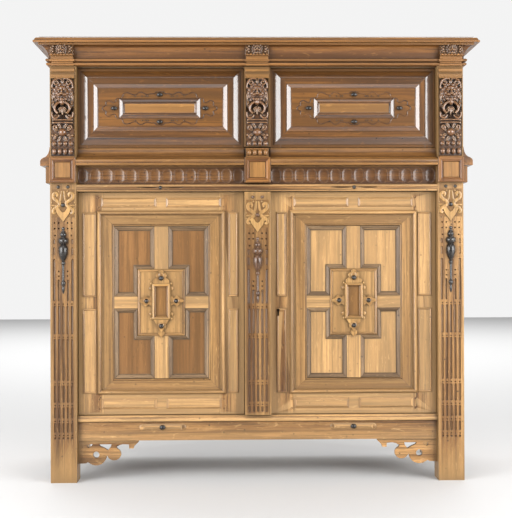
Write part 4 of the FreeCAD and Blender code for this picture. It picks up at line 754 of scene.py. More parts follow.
def finishes():
    """Every material of the cupboard, each made once from the colours set in the panel."""
    colours = bpy.context.scene.cupboard_colours
    known = bpy.data.materials
    made = {}
    for key, (label, _, gloss, coat, settings) in OAKS.items():
        tones = [getattr(colours, f"{key}_{shade}") for shade in SHADES]
        made[key] = known.get(label) or oak(label, tones, gloss, coat=coat, **settings)
    made["ebony"] = known.get("Ebony") or ebony("Ebony", EBONY_TONES, RUBBED_EBONY)
    made["worn_ebony"] = known.get("Worn ebony") or ebony("Worn ebony", WORN_EBONY_TONES, RUBBED_BROWN)
    made["iron"] = known.get("Wrought iron") or wrought_iron("Wrought iron")
    return made


# Heights where the rows of flutes on the posts and on the centre pilaster start and stop
POST_FLOORS = (0.736, 0.601, 0.411, 0.322, 0.258, 0.200, 0.173)
CENTRE_FLOORS = (0.722, 0.601, 0.411, 0.322, 0.280)
POST_SCROLL_TOP = 1.196
CENTRE_SCROLL_TOP = 1.152
ROWS = range(-2, 3)
FLUTE_FOOT_GAP = 5 * MM
FLUTE_HEAD_GAP = 13 * MM
DOT_BELOW = 6 * MM
DOT_RADIUS = 3 * MM


def post_fluting(cutters, x, floors):
    """Flutes in five rows across, broken at each floor, with a punched dot under each break."""
    sizes = chosen()
    for row in ROWS:
        across = x + row * sizes.flute_pitch
        for upper, lower in zip(floors, floors[1:]):
            flute(cutters, across, FACE, lower + FLUTE_FOOT_GAP, upper - FLUTE_HEAD_GAP, sizes.flute_radius,
                  sizes.flute_deep)
        for height in floors[:-1]:
            pit(cutters, across, FACE, height - DOT_BELOW, DOT_RADIUS)


# Dots and slots beside the drop: across and down from the scrollwork's top, in millimetres
PIERCED_DOTS = ((35, -135), (18, -135), (35, -158), (18, -158), (33, -186), (18, -332), (18, -352))
PIERCED_DOT_RADIUS = 3.4 * MM
SLOTS = ((-201, -222), (-234, -266))
SLOT_ASIDE = 37 * MM
SLOT_HALF = 4 * MM
SLOT_DEEP = 3.5 * MM
OUTER_FLUTE_BELOW = 282 * MM
INNER_FLUTE_BELOW = 366 * MM
INNER_FLUTE_ASIDE = 19 * MM
SHORT_FLUTE_LIFT = 6 * MM


def post_piercing(cutters, x, top, foot):
    """Punched dots, short slots and short flutes beside the drop."""
    sizes = chosen()
    for hand in HANDS:
        for dot_x, dot_z in placed(PIERCED_DOTS, x, top, hand):
            pit(cutters, dot_x, FACE, dot_z, PIERCED_DOT_RADIUS)
        aside = x + hand * SLOT_ASIDE
        for upper, lower in SLOTS:
            flute(cutters, aside, FACE, top + lower * MM, top + upper * MM, SLOT_HALF, SLOT_DEEP)
        flute(cutters, aside, FACE, foot, top - OUTER_FLUTE_BELOW, sizes.flute_radius, sizes.flute_deep)
        flute(cutters, x + hand * INNER_FLUTE_ASIDE, FACE, foot, top - INNER_FLUTE_BELOW, SLOT_HALF,
              sizes.flute_deep)


def fluted(wood, x, scroll_top, floors):
    """Cut all flutes, dots and slots of a post or pilaster."""
    cutters = bmesh.new()
    post_fluting(cutters, x, floors)
    post_piercing(cutters, x, scroll_top, floors[0] + SHORT_FLUTE_LIFT)
    carve(wood, cutters, "Z")


# Straps of the scrollwork: across, down and share of the radius, in millimetres below its top
SCROLL = ((27, -27, 0.55), (22, -21, 0.8), (26, -13, 1.0), (35, -13, 1.0), (41, -22, 1.0), (39, -34, 1.0),
          (28, -43, 1.0), (16, -49, 1.0), (11, -58, 1.0), (18, -67, 1.0), (30, -73, 1.0), (40, -81, 1.0),
          (42, -92, 0.9), (35, -97, 0.8), (30, -91, 0.55))
CREST = ((4, -4, 0.6), (7, -16, 1.0), (6, -32, 1.0), (13, -46, 0.9), (22, -56, 0.6))
BRANCH = ((16, -63, 0.9), (30, -64, 1.0), (47, -63, 0.8))
STRAPS = ((SCROLL, 7.4 * MM), (CREST, 5.6 * MM), (BRANCH, 4.2 * MM))
STRAP_FLAT_SHARE = 0.62
STRAP_LET_IN = 0.5 * MM
SCROLL_BEADS = ((47, -52, 0, (3.4, 3, 3.4)), (46, -74, 0, (3.4, 3, 3.4)), (17, -5, 0, (4, 3, 4)))
POINT = ((0, -131), (-8, -119), (-17, -107), (-25, -95), (-31, -80), (-24, -70), (-15, -76), (-8, -88),
         (0, -93),
         (8, -88), (15, -76), (24, -70), (31, -80), (25, -95), (17, -107), (8, -119))
POINT_PROUD = 4.2 * MM
SCROLL_GROUND = ((-46, 46), (-0.6, 1), (-112, 2))


def strapwork(wood, x, top):
    """Flat fretted scrolls round a boss that run down to a point."""
    face = FACE - STRAP_LET_IN
    for hand in HANDS:
        for points, radius in STRAPS:
            wood.add(strap(stem(points, x, top, face, hand), radius, STRAP_FLAT_SHARE, resolution=5))
        wood.balls(x, face, top, SCROLL_BEADS, hand)
    wood.add(flat_shape([placed(POINT, x, top)], FACE + LET_IN, FACE - POINT_PROUD))


def scrollwork(kind, tail, body, seed, x, top):
    """The fretted scrolls over the drop on their dark sunk ground, framed by the post's own edge."""
    ground = Wood(35 + round(x * 10))
    ground.block(x, FACE, top, SCROLL_GROUND)
    ground.finish(f"{kind}_ground{tail}", body, "lower_oak", "ground_oak", soften=0)
    scroll = Wood(seed)
    strapwork(scroll, x, top)
    scroll.finish(f"{kind}{tail}", body, "carved_oak", "scroll_oak", soften=0)


# Radius and height of the drop, in millimetres: finial, cap, ring, baluster, bead and a long stem
DROP = ((3, 0), (6, -3), (6, -8), (3.5, -11), (3.5, -15), (8, -17), (9, -22), (12, -26), (13, -31),
        (12, -36),
        (9, -40), (10, -43), (17, -46), (20, -52), (20.5, -58), (19, -64), (14, -69), (11, -71), (13, -74),
        (17, -80), (19, -90), (18.5, -102), (16, -116), (11, -129), (7, -136), (5, -139), (7, -142), (8,
                                                                                                      -147),
        (7, -152), (4.5, -155), (4.2, -170), (4.6, -195), (4.2,
                                                           -218), (6, -221), (8, -226), (8, -233), (6, -239),
        (4, -242), (5.5, -250), (4.5, -262), (1.5, -272))
DROP_BELOW = 152 * MM
DROP_LET_IN = 0.5 * MM
POST_BOSS = ((0, -62, 3, (8.5, 7, 8.5)),)
CENTRE_BOSS = ((0, -60, 3, (8.5, 7, 8.5)),)
CENTRE_STUDS = ((-19, 13, 1, (6.5, 6, 6.5)), (19, 13, 1, (6.5, 6, 6.5)))


def pendant(wood, x, scroll_top, boss):
    """Half a turned drop under the scrollwork and the boss in the scrollwork's middle."""
    wood.half_turned(DROP, (x, FACE + DROP_LET_IN, scroll_top - DROP_BELOW))
    wood.balls(x, FACE, scroll_top, boss, steps=16)


def front_posts():
    for side, hand in SIDES:
        wood = Wood(11 + hand)
        x = hand * POST_MIDDLE
        wood.board(both(hand, POST_IN, BODY_HALF), (FACE, POST_BACK), (0, SLAB_LOW))
        fluted(wood, x, POST_SCROLL_TOP, POST_FLOORS)
        wood.finish(f"front_post_{side}", "carcase", "lower_oak", "post_oak", [f"corner_post_front_{side}"])
        scrollwork("post_scroll", f"_{side}", "carcase", 31 + hand, x, POST_SCROLL_TOP)


def centre_pilaster():
    body = "lower_door_right"
    wood = Wood(71)
    z_ends = (low("lower_pilaster_centre", 2), high("lower_pilaster_centre", 2))
    wood.board((-CENTRE_HALF, CENTRE_HALF), (FACE, DOOR_FACE), z_ends)
    fluted(wood, 0, CENTRE_SCROLL_TOP, CENTRE_FLOORS)
    wood.finish("centre_pilaster", body, "lower_oak", "post_oak", ["lower_pilaster_centre"])
    scrollwork("centre_scroll", "", body, 52, 0, CENTRE_SCROLL_TOP)
    turned = Wood(53)
    pendant(turned, 0, CENTRE_SCROLL_TOP, CENTRE_BOSS)
    turned.balls(0, FACE, CENTRE_SCROLL_TOP, CENTRE_STUDS, steps=14)
    turned.finish("centre_pendant", body, "ebony", "worn_ebony", ["centre_drop"], soften=0)


# Section of the slab's worked edge: in from its edge and up, in millimetres, from its foot and from its top
SLAB_FOOT = ((30, 0), (0, 0), (0, 7), (2, 9), (5, 9), (5.6, 13), (8, 17.5), (12, 20.5), (18, 22.5))
SLAB_HEAD = ((20, -2.5), (23, 0), (30, 0))
SLAB_NOSE = 30 * MM
SLAB_JOINTS = (-0.120, 0.118)
SLAB_GAP = 0.4 * MM


def moulded_slab():
    """Top boards with a quarter moulding and nose worked along the front and both ends."""
    wood = Wood(61)
    left, right = low("top_board", 0), high("top_board", 0)
    front, top = low("top_board", 1), high("top_board", 2)
    joints = (front + SLAB_NOSE, *SLAB_JOINTS, BACK)
    for start, stop in zip(joints, joints[1:]):
        wood.board((left + SLAB_NOSE, right - SLAB_NOSE), (start + SLAB_GAP, stop), (SLAB_LOW, top), "X")
    profile = section(SLAB_FOOT, SLAB_LOW, 1) + section(SLAB_HEAD, top, 1)
    path = [(left, BACK), (left, front), (right, front), (right, BACK)]
    wood.mitred(path, profile, "XY", closed=False)
    wood.finish("top_slab", "carcase", "upper_oak", "upper_oak", ["top_board"])


# Section of the cornice: out from the body's face and up from its foot, in millimetres
CORNICE_FOOT = ((-22, 0), (4, 0))
ROUND_PLACES = ((7, 1), (9, 17))
ROUND_FILLETS = (((2, 14), (2, 16)), ((3, 30),))
ROUND_HALF = 6 * MM
ROUND_BOW = 84
ROUND_STEPS = 12
COVE_FOOT = 34 * MM
COVE_HEAD = 7 * MM
COVE_START = 3 * MM
COVE_REACH = 38 * MM
COVE_OUT_POWER = 0.8
COVE_UP_POWER = 0.9
COVE_ANGLES = range(0, 91, 9)
CORNICE_TOP = ((39, 0), (-22, 0))
REAR_GAP = 1 * MM


def cornice_section():
    """Frieze and mouldings under the slab: (reach from the body's face, height), going up."""
    low_z = low("cornice_front", 2)
    points = section(CORNICE_FOOT, low_z, 1)
    for (reach, up), fillet in zip(ROUND_PLACES, ROUND_FILLETS):
        centre = (reach * MM, low_z + up * MM + ROUND_HALF)
        points += arc(centre, ROUND_HALF, -ROUND_BOW, ROUND_BOW, ROUND_STEPS)
        points += section(fillet, low_z, 1)
    foot = low_z + COVE_FOOT
    rise = SLAB_LOW - COVE_HEAD - foot
    for angle in COVE_ANGLES:
        out = (1 - math.cos(math.radians(angle))) ** COVE_OUT_POWER
        up = math.sin(math.radians(angle)) ** COVE_UP_POWER
        points.append((COVE_START + (COVE_REACH - COVE_START) * out, foot + rise * up))
    return points + section(CORNICE_TOP, SLAB_LOW, 1)


def cornice_front():
    """The frieze and its mouldings, mitred round the three sides."""
    profile = [(-reach, level) for reach, level in cornice_section()]
    stop = BACK - REAR_GAP
    path = [(-BODY_HALF, stop), (-BODY_HALF, FACE), (BODY_HALF, FACE), (BODY_HALF, stop)]
    wood = Wood(71)
    wood.mitred(path, profile, "XY", closed=False)
    wood.finish("cornice", "carcase", "upper_oak", "upper_oak", ["cornice_front", "cornice_returns"])


# Mask: aside, up, out, wide, high and deep of each part; the mane's tufts are the last six
MASK_SHARES = (
    (0, 0.05, 0.10, 0.78, 0.86, 0.45),
    (0, 0.55, 0.30, 0.42, 0.30, 0.34),
    (0.27, 0.34, 0.46, 0.24, 0.13, 0.22),
    (0.30, 0.20, 0.46, 0.13, 0.10, 0.14),
    (0, 0.14, 0.62, 0.12, 0.34, 0.26),
    (0, -0.08, 0.78, 0.22, 0.14, 0.22),
    (0.26, -0.16, 0.56, 0.26, 0.19, 0.26),
    (0.50, 0.02, 0.34, 0.22, 0.26, 0.24),
    (0, -0.66, 0.44, 0.26, 0.18, 0.26),
    (0.34, -0.60, 0.32, 0.20, 0.22, 0.20),
    (0.55, 0.72, 0.12, 0.22, 0.22, 0.22),
    (0.78, 0.44, 0.04, 0.22, 0.26, 0.22),
    (0.86, 0.08, 0.02, 0.18, 0.26, 0.20),
    (0.80, -0.30, 0.02, 0.18, 0.26, 0.20),
    (0.62, -0.66, 0.02, 0.20, 0.24, 0.20),
    (0.22, 0.92, 0.10, 0.24, 0.20, 0.24),
)


def lion(wood, x, z, face, size):
    """A small grinning mask: mane, brow, eyes, cheeks, nose, teeth and chin; its size in millimetres."""
    reach = size * MM
    for aside, up, out, wide, tall, deep in MASK_SHARES:
        for hand in (HANDS if aside else (1,)):
            wood.ball((x + hand * aside * reach, face - out * reach, z + up * reach),
                      (wide * size, deep * size, tall * size), steps=14)


LEAF_STEPS = 7
LEAF_TIP_SHARE = 0.08
LEAF_FULLNESS = 0.8
LEAF_LIFT_SHARES = (0.12, 0.80)
LEAF_RIBS = ((-1, 0.0), (-0.55, 0.75), (0, 0.45), (0.55, 0.75), (1, 0.0))
LEAF_PROUD = 0.4 * MM
LEAF_LET_IN = 2 * MM


def leaf(wood, x, z, face, size, turn):
    """A pointed leaf with a rib, laid flat to the face; its length, width and rise are in millimetres."""
    length, width, rise = [value * MM for value in size]
    angle = math.radians(turn)
    way = Vector((math.cos(angle), math.sin(angle)))
    aside = Vector((-way.y, way.x))
    lift_start, lift_run = LEAF_LIFT_SHARES
    bm = wood.bm
    rows, backs = [], []
    for place in range(LEAF_STEPS + 1):
        share = place / LEAF_STEPS
        swell = LEAF_TIP_SHARE + share * (1 - LEAF_TIP_SHARE)
        half = width / 2 * math.sin(math.pi * swell) ** LEAF_FULLNESS
        out = rise * math.sin(math.pi * (lift_start + lift_run * share))
        middle = Vector((x, z)) + way * length * share
        spots = [(middle + aside * half * across, lift) for across, lift in LEAF_RIBS]
        rows.append([bm.verts.new((spot.x, face - out * lift - LEAF_PROUD, spot.y)) for spot, lift in spots])
    for row in rows:
        backs.append([bm.verts.new((end.co.x, face + LEAF_LET_IN, end.co.z)) for end in (row[0], row[-1])])
    for first, second, back, next_back in zip(rows, rows[1:], backs, backs[1:]):
        for here in range(len(LEAF_RIBS) - 1):
            bm.faces.new((first[here], first[here + 1], second[here + 1], second[here]))
        bm.faces.new((back[0], first[0], second[0], next_back[0]))
        bm.faces.new((first[-1], back[1], next_back[1], second[-1]))
        bm.faces.new((back[1], back[0], next_back[0], next_back[1]))
    for row, back in ((rows[0], backs[0]), (rows[-1], backs[-1])):
        bm.faces.new((row[0], *back, *reversed(row[1:])))
    wood.mark([vert for row in rows + backs for vert in row], "Z")


def leaves(wood, x, face, table, hand=1):
    """Leaves from a table of (across, height, (length, width, rise), turn) in millimetres and degrees."""
    for across, height, size, turn in table:
        leaf(wood, x + hand * across * MM, height * MM, face, size, turn if hand > 0 else 180 - turn)


def remesh(piece, cell):
    """Carved parts become one skin before the edges are rubbed."""
    skin = piece.modifiers.new("one skin", "REMESH")
    skin.mode = "VOXEL"
    skin.voxel_size = cell
    skin.use_smooth_shade = True


# Console: its block and shelf, the boards of its capital, and the beads and curls in millimetres
CONSOLE_HALF = 47 * MM
CONSOLE_REACH = 42 * MM
CONSOLE_LOW = 1.739
CONSOLE_CAP_LOW = 1.786
CONSOLE_TOP = SLAB_LOW - 0.5 * MM
SHELF_TOP = 1.7425
SHELF_IN = 4 * MM
SHELF_BEADS = tuple((across, 0, 0, (5, 4, 3.4)) for across in range(-39, 40, 13))
GROUND_IN = 13 * MM
CAPITAL = (((-47, 47), (-14, 0), (1702, 1708)), ((-44, 44), (-10, 0), (1708, 1712)),
           ((-44, 44), (-17, 0), (1712, 1718)),
           ((-50, 50), (-24, 0), (1718, 1726)), ((-45, 45), (-26, 0), (1726, 1739)))
CONSOLE_MASK_HEIGHT = 1.764
CONSOLE_MASK_SIZE = 23
CONSOLE_MASK_IN = 12 * MM
CURLS = ((33, 12, 0, (6, 9, 6)), (35, 1, 0, (6.5, 9, 6.5)), (33, -10, 0, (6, 9, 6)), (41, 6, 0, (4, 9, 4)),
         (41, -6, 0, (4, 9, 4)))
CONSOLE_CELL = 0.9 * MM


def consoles():
    """Small masks on blocks in the frieze and the capitals under them."""
    front = FACE - CONSOLE_REACH
    for side, x in PILASTERS:
        wood = Wood(81 + round(x * 10))
        dark = Wood(86 + round(x * 10))
        x_ends = spread(x, CONSOLE_HALF)
        dark.board(x_ends, (front + GROUND_IN, FACE), (CONSOLE_LOW, CONSOLE_TOP), "X")
        dark.finish(f"console_ground_{side}", "carcase", "upper_oak", "door_oak")
        wood.board(x_ends, (front, FACE), (CONSOLE_CAP_LOW, CONSOLE_TOP), "X")
        wood.board(x_ends, (front + SHELF_IN, FACE), (CONSOLE_LOW, SHELF_TOP), "X")
        wood.balls(x, front + SHELF_IN, SHELF_TOP, SHELF_BEADS)
        for ends in CAPITAL:
            wood.block(x, FACE, 0, ends, "X")
        wood.finish(f"console_{side}", "carcase", "upper_oak", "upper_oak",
                    ["mask_consoles"] if side == "centre" else [])
        mask = Wood(91 + round(x * 10))
        back = front + CONSOLE_MASK_IN
        lion(mask, x, CONSOLE_MASK_HEIGHT, back, CONSOLE_MASK_SIZE)
        for hand in HANDS:
            mask.balls(x, back, CONSOLE_MASK_HEIGHT, CURLS, hand)
        piece = mask.finish(f"console_mask_{side}", "carcase", "carved_oak", "carved_oak", soften=0)
        remesh(piece, CONSOLE_CELL)


# Upper pilaster: depths of its ground, and its fillets and head in millimetres
PILASTER_HALF = 48 * MM
PILASTER_FACE = FACE - 8 * MM
PILASTER_GROUND = PILASTER_FACE + 4 * MM
CARVED_TOP = 1.652
FILLETS = (((-48, 48), (-1, 8), (1652, 1667)), ((-49, 49), (-5, 8), (1677.5, 1689)),
           ((-48, 48), (-4, 8), (1652, 1657)))
HEAD = ((-48, 48), (4, 8), (1667, 1699))
EDGE_WIDE = 1.5 * MM
EDGE_LET_IN = 1 * MM
BACKING_Z = (1.372, 1.700)


def pilaster_boards(side, x, low_end, body):
    """The fillets and head over the carving, and the ground and edges behind it."""
    board = Wood(101 + round(x * 10))
    for ends in FILLETS:
        board.block(x, PILASTER_FACE, 0, ends, "X")
    board.finish(f"upper_pilaster_{side}_fillets", body, "upper_oak", "tablet_oak")
    # The head between the fillets and the ground behind the carving take the dark ground oak: painted shade
    # in the grooves and hollows.
    ground = Wood(111 + round(x * 10))
    ground.board(spread(x, PILASTER_HALF), (PILASTER_GROUND, FACE), (low_end, CARVED_TOP))
    ground.block(x, PILASTER_FACE, 0, HEAD, "X")
    for hand in HANDS:
        edge = sorted((x + hand * PILASTER_HALF, x + hand * (PILASTER_HALF - EDGE_WIDE)))
        ground.board(edge, (PILASTER_FACE + EDGE_LET_IN, FACE), (low_end, CARVED_TOP))
    if side == "centre":
        ground.board((-CENTRE_HALF, CENTRE_HALF), (FACE, DOOR_FACE), BACKING_Z)
    ground.finish(f"upper_pilaster_{side}_board", body, "upper_oak", "ground_oak")


FERN_STEPS = 12
FERN_TURN = 460
FERN_CLOSING_SHARE = 0.82
FERN_THINNING_SHARE = 0.45


def fern(wood, x, z, level, hand, coil):
    """A coiled strap: its middle's distance aside, its size, the turn of its start and its thickness."""
    aside, size, turn, thick = coil
    points = []
    for place in range(FERN_STEPS + 1):
        share = place / FERN_STEPS
        angle = math.radians(turn - share * FERN_TURN)
        reach = size * (1 - FERN_CLOSING_SHARE * share)
        points.append((aside + reach * math.cos(angle), reach * math.sin(angle),
                       1 - FERN_THINNING_SHARE * share))
    wood.add(strap(stem(points, x, z, level, hand), thick * MM, STEM_ROUND_SHARE))


# Carving of the upper pilaster, in millimetres: across or aside, height, then sizes; turns in degrees
STEM_ROUND_SHARE = 1.3
STEM_PROUD = 1 * MM
BACK_PLATE_IN = 2 * MM
BACK_PLATE_PROUD = 3 * MM
BACK_PLATE_UP = 1 * MM
BACK_PLATE_TOP = 1.650
PILASTER_MASK_HEIGHT = 1.588
PILASTER_MASK_SIZE = 38
CROWN_COIL = (24, 14, 100, 4.6)
CROWN_COIL_HEIGHT = 1.634
CROWN_STEM = ((3, 1647, 0.7), (14, 1651, 1.0), (30, 1649, 1.0), (42, 1634, 0.9), (42, 1610, 0.7))
CROWN_STEM_THICK = 4.6 * MM
CROWN_LEAVES = ((8, 1616, (30, 15, 9), 60), (36, 1602, (44, 15, 10), -82), (38, 1560, (30, 13, 9), -96))
CROWN_BERRIES = ((40, 1612, 0, (6, 9, 6)), (37, 1546, 0, (6, 9, 6)))
BROW_LEAF = ((0, 1624, (26, 17, 12), 90),)
RING_HEIGHT = 1.528
RING_RADIUS = 31 * MM
RING_SQUASH_SHARE = 26 / 31
RING_ANGLES = (-55, 235)
RING_STEPS = 13
RING_PROUD = 9 * MM
RING_THICK = 5.4 * MM
RING_ROUND_SHARE = 1.1
TONGUE = ((0, 1552, 6, (11, 14, 13)),)
FAN_LEAVES = tuple((0, 1534, (length, 13, 9), turn)
                   for turn, length in ((-90, 34), (-62, 30), (-118, 30), (-38, 24), (-142, 24)))
SWAG_STEM = ((42, 1512, 0.8), (43, 1494, 1.0), (32, 1484, 1.1), (19, 1490, 1.0), (14, 1500, 0.7))
SWAG_STEM_THICK = 4.8 * MM
SWAG_LEAF = ((20, 1500, (24, 11, 8), -20),)
BAND_HEIGHTS = (1.4805, 1.4695)
BAND_LINE = ((-41, 0, 0.9), (41, 0, 0.9))
BAND_RISE = 1 * MM
BAND_MIDDLE_SHARE = 1.1
BAND_THICK = 3.4 * MM
FLOWER = ((0, 0, 0, (17, 19, 17)),)
FLOWER_HEIGHT = 1.430
PETAL = (29, 15, 11)
PETAL_REACH = 15 * MM
PETAL_TURNS = (25, 65, 115, 155, 205, 245, 295, 335)
LOW_COIL = (31, 9.5, 200, 3.6)
LOW_COIL_HEIGHT = 1.450
LOW_BERRIES = ((40, 1418, 0, (6, 9, 6)), (30, 1407, 0, (7, 9, 6)))
GADROON_PLACES = (-33 * MM, -11 * MM, 11 * MM, 33 * MM)
UPPER_GADROON = ((0, 1384, 0, (10, 8, 10.5)), (0, 1382, 6, (4, 5, 4)))
LOWER_GADROON = ((0, 1352, 1, (10.4, 11, 13.5)),)
CORD_HEIGHTS = (1.3965, 1.3690)
CORD_THICK = 2.6 * MM
PILASTER_CELL = 1.0 * MM


def carved_mask(wood, x):
    """Lion mask under a leafed top, with a ring in its mouth, a fan of leaves and swag ends."""
    face, ground = PILASTER_FACE, PILASTER_GROUND
    lion(wood, x, PILASTER_MASK_HEIGHT, ground, PILASTER_MASK_SIZE)
    for hand in HANDS:
        fern(wood, x, CROWN_COIL_HEIGHT, face - STEM_PROUD, hand, CROWN_COIL)
        wood.add(strap(stem(CROWN_STEM, x, 0, face - STEM_PROUD, hand), CROWN_STEM_THICK, STEM_ROUND_SHARE))
        leaves(wood, x, ground, CROWN_LEAVES, hand)
        wood.balls(x, ground, 0, CROWN_BERRIES, hand)
    leaves(wood, x, ground, BROW_LEAF)
    ring = arc((x, RING_HEIGHT), RING_RADIUS, *RING_ANGLES, RING_STEPS, RING_SQUASH_SHARE)
    wood.add(strap([(px, pz, face - RING_PROUD, 1.0) for px, pz in ring], RING_THICK, RING_ROUND_SHARE))
    wood.balls(x, face, 0, TONGUE)
    leaves(wood, x, face, FAN_LEAVES)
    for hand in HANDS:
        wood.add(strap(stem(SWAG_STEM, x, 0, face - STEM_PROUD, hand), SWAG_STEM_THICK, STEM_ROUND_SHARE))
        leaves(wood, x, ground, SWAG_LEAF, hand)


def carved_foot(wood, x, lower_row):
    """Two cords, a flower with petals and coils, and rows of gadroons."""
    face, ground = PILASTER_FACE, PILASTER_GROUND
    for height in BAND_HEIGHTS:
        left, right = stem(BAND_LINE, x, height, face)
        middle = (x, height + BAND_RISE, face - STEM_PROUD, BAND_MIDDLE_SHARE)
        wood.add(strap([left, middle, right], BAND_THICK, STEM_ROUND_SHARE))
    wood.balls(x, face, FLOWER_HEIGHT, FLOWER, steps=16)
    for turn in PETAL_TURNS:
        angle = math.radians(turn)
        leaf(wood, x + PETAL_REACH * math.cos(angle), FLOWER_HEIGHT + PETAL_REACH * math.sin(angle),
             ground, PETAL, turn)
    for hand in HANDS:
        fern(wood, x, LOW_COIL_HEIGHT, face, hand, LOW_COIL)
        wood.balls(x, ground, 0, LOW_BERRIES, hand)
    for aside in GADROON_PLACES:
        wood.balls(x + aside, face, 0, UPPER_GADROON + (LOWER_GADROON if lower_row else ()))
    for height in CORD_HEIGHTS:
        ends = [(end, height, face, 1.0) for end in spread(x, PILASTER_HALF - BACK_PLATE_IN)]
        wood.add(strap(ends, CORD_THICK, 1.0, resolution=1))


def upper_pilasters():
    """Carved pilasters beside and between the upper doors; the right door carries the middle one."""
    for side, x in PILASTERS:
        body = "upper_door_right" if side == "centre" else "carcase"
        low_end = low(f"upper_pilaster_{side}", 2)
        pilaster_boards(side, x, low_end, body)
        wood = Wood(121 + round(x * 10))
        wood.board(spread(x, PILASTER_HALF - BACK_PLATE_IN),
                   (PILASTER_GROUND, PILASTER_GROUND + BACK_PLATE_PROUD),
                   (low_end + BACK_PLATE_UP, BACK_PLATE_TOP))
        carved_mask(wood, x)
        carved_foot(wood, x, lower_row=side != "centre")
        piece = wood.finish(f"upper_pilaster_{side}_carving", body, "carved_oak", "carved_oak",
                            [f"upper_pilaster_{side}"], soften=0)
        remesh(piece, PILASTER_CELL)


# Sections of the waist ledge: out from its back and up from its foot, in millimetres
LEDGE_FOOT = ((0, 0), (63, 0), (63, 9), (60, 11), (61, 14), (62, 18), (60, 23), (56, 26), (50, 28))
RETURN_FOOT = ((0, 0), (40, 0), (40, 20), (36, 27))
HOLLOW_ANGLES = range(6, 91, 7)
HOLLOW_DEEP = 42 * MM
LEDGE_START = 50 * MM
LEDGE_HOLLOW = 44 * MM
RETURN_START = 30 * MM
RETURN_HOLLOW = 28 * MM
WAIST_BACK = DOOR_FACE + 3 * MM


def ledge_section(foot, start, hollow):
    """Nose and hollow of the ledge: (out, height) from its foot up to its top."""
    ledge_low, ledge_top = low("waist_ledge_front", 2), high("waist_ledge_front", 2)
    points = section(foot, ledge_low, 1)
    for angle in HOLLOW_ANGLES:
        turn = math.radians(angle)
        points.append((start - hollow * math.sin(turn), ledge_top - HOLLOW_DEEP * math.cos(turn)))
    return points + [(0, ledge_top)]


def waist_ledge():
    """The cove over the fluted band, in two lengths between the blocks, and its returns on the sides."""
    wood = Wood(141)
    for hand in HANDS:
        wood.across(both(hand, POST_IN, CENTRE_HALF), WAIST_BACK,
                    ledge_section(LEDGE_FOOT, LEDGE_START, LEDGE_HOLLOW))
    wood.finish("waist_ledge", "carcase", "upper_oak", "tablet_oak", ["waist_ledge_front"])
    returns = Wood(142)
    for hand in HANDS:
        profile = ledge_section(RETURN_FOOT, RETURN_START, RETURN_HOLLOW)
        starts, stops = [[Vector((hand * (BODY_HALF + reach), y, level)) for reach, level in profile]
                         for y in (FACE, BACK)]
        returns.run(starts, stops, "Y")
    returns.finish("waist_ledge_returns", "carcase", "upper_oak", "upper_oak", ["waist_ledge_returns"])


BLOCK_LOW = 1.224
BLOCK_TOP = 1.328
BLOCK_HALF = 53.25 * MM
BLOCK_BODY_IN = 7 * MM
# The block's moulded face: in from its edge and back from its front, in millimetres
BLOCK_SECTION = ((0, 7), (0, 3), (3, 0), (12, 0), (15, 2), (18, 2), (21, 6), (21, 7))
SUNK_PANEL = ((-31.5, 31.5), (4, 8), (-31, 31))
PLATE_HALF = 47 * MM
PLATE_IN = 3 * MM
PLATE_TOP = 1.331
GADROON_BOARD_HALF = 46 * MM
GADROON_BOARD_TOP = 1.365
GADROON_BOARD_PROUD = 5 * MM
WAIST_GADROON = ((0, 1347.5, 9, (10.4, 11, 13.5)),)
# Side blocks: how far out from the body, front to back, and heights
SIDE_BLOCKS = (((0, 18), (-0.289, -0.196), (1.224, 1.292)), ((10, 17.5), (-0.280, -0.205), (1.235, 1.281)))


def waist_block_set():
    """Blocks over the posts with a sunk face, plain plates over them, and small blocks on the sides."""
    sunk = Wood(150)
    front = low("waist_blocks", 1)
    middle = (BLOCK_LOW + BLOCK_TOP) / 2
    for side, x in PILASTERS:
        wood = Wood(151 + round(x * 10))
        back = WAIST_BACK if side == "centre" else FACE
        wood.board(spread(x, BLOCK_HALF), (front + BLOCK_BODY_IN, back), (BLOCK_LOW, BLOCK_TOP))
        wood.mitred(rectangle(x, middle, BLOCK_HALF, (BLOCK_TOP - BLOCK_LOW) / 2),
                    section(BLOCK_SECTION, front, 1))
        sunk.block(x, front, middle, SUNK_PANEL)
        wood.board(spread(x, PLATE_HALF), (front + PLATE_IN, back), (BLOCK_TOP, PLATE_TOP), "X")
        if side == "centre":
            wood.board(spread(x, GADROON_BOARD_HALF), (FACE - GADROON_BOARD_PROUD, back),
                       (PLATE_TOP, GADROON_BOARD_TOP), "X")
            for aside in GADROON_PLACES:
                wood.balls(x + aside, FACE, 0, WAIST_GADROON)
        wood.finish(f"waist_block_{side}", "carcase", "upper_oak", "upper_oak",
                    ["waist_blocks"] if side == "centre" else [])
    sunk.finish("waist_block_panels", "carcase", "lower_oak", "tablet_oak")
    wood = Wood(158)
    for hand in HANDS:
        for (near, far), y_ends, z_ends in SIDE_BLOCKS:
            wood.board(both(hand, BODY_HALF + near * MM, BODY_HALF + far * MM), y_ends, z_ends)
    wood.finish("waist_side_blocks", "carcase", "upper_oak", "upper_oak")


BAND_FLUTE_HALF = 21.5 * MM
BAND_FOOT_GAP = 7 * MM
BAND_HEAD_GAP = 9 * MM


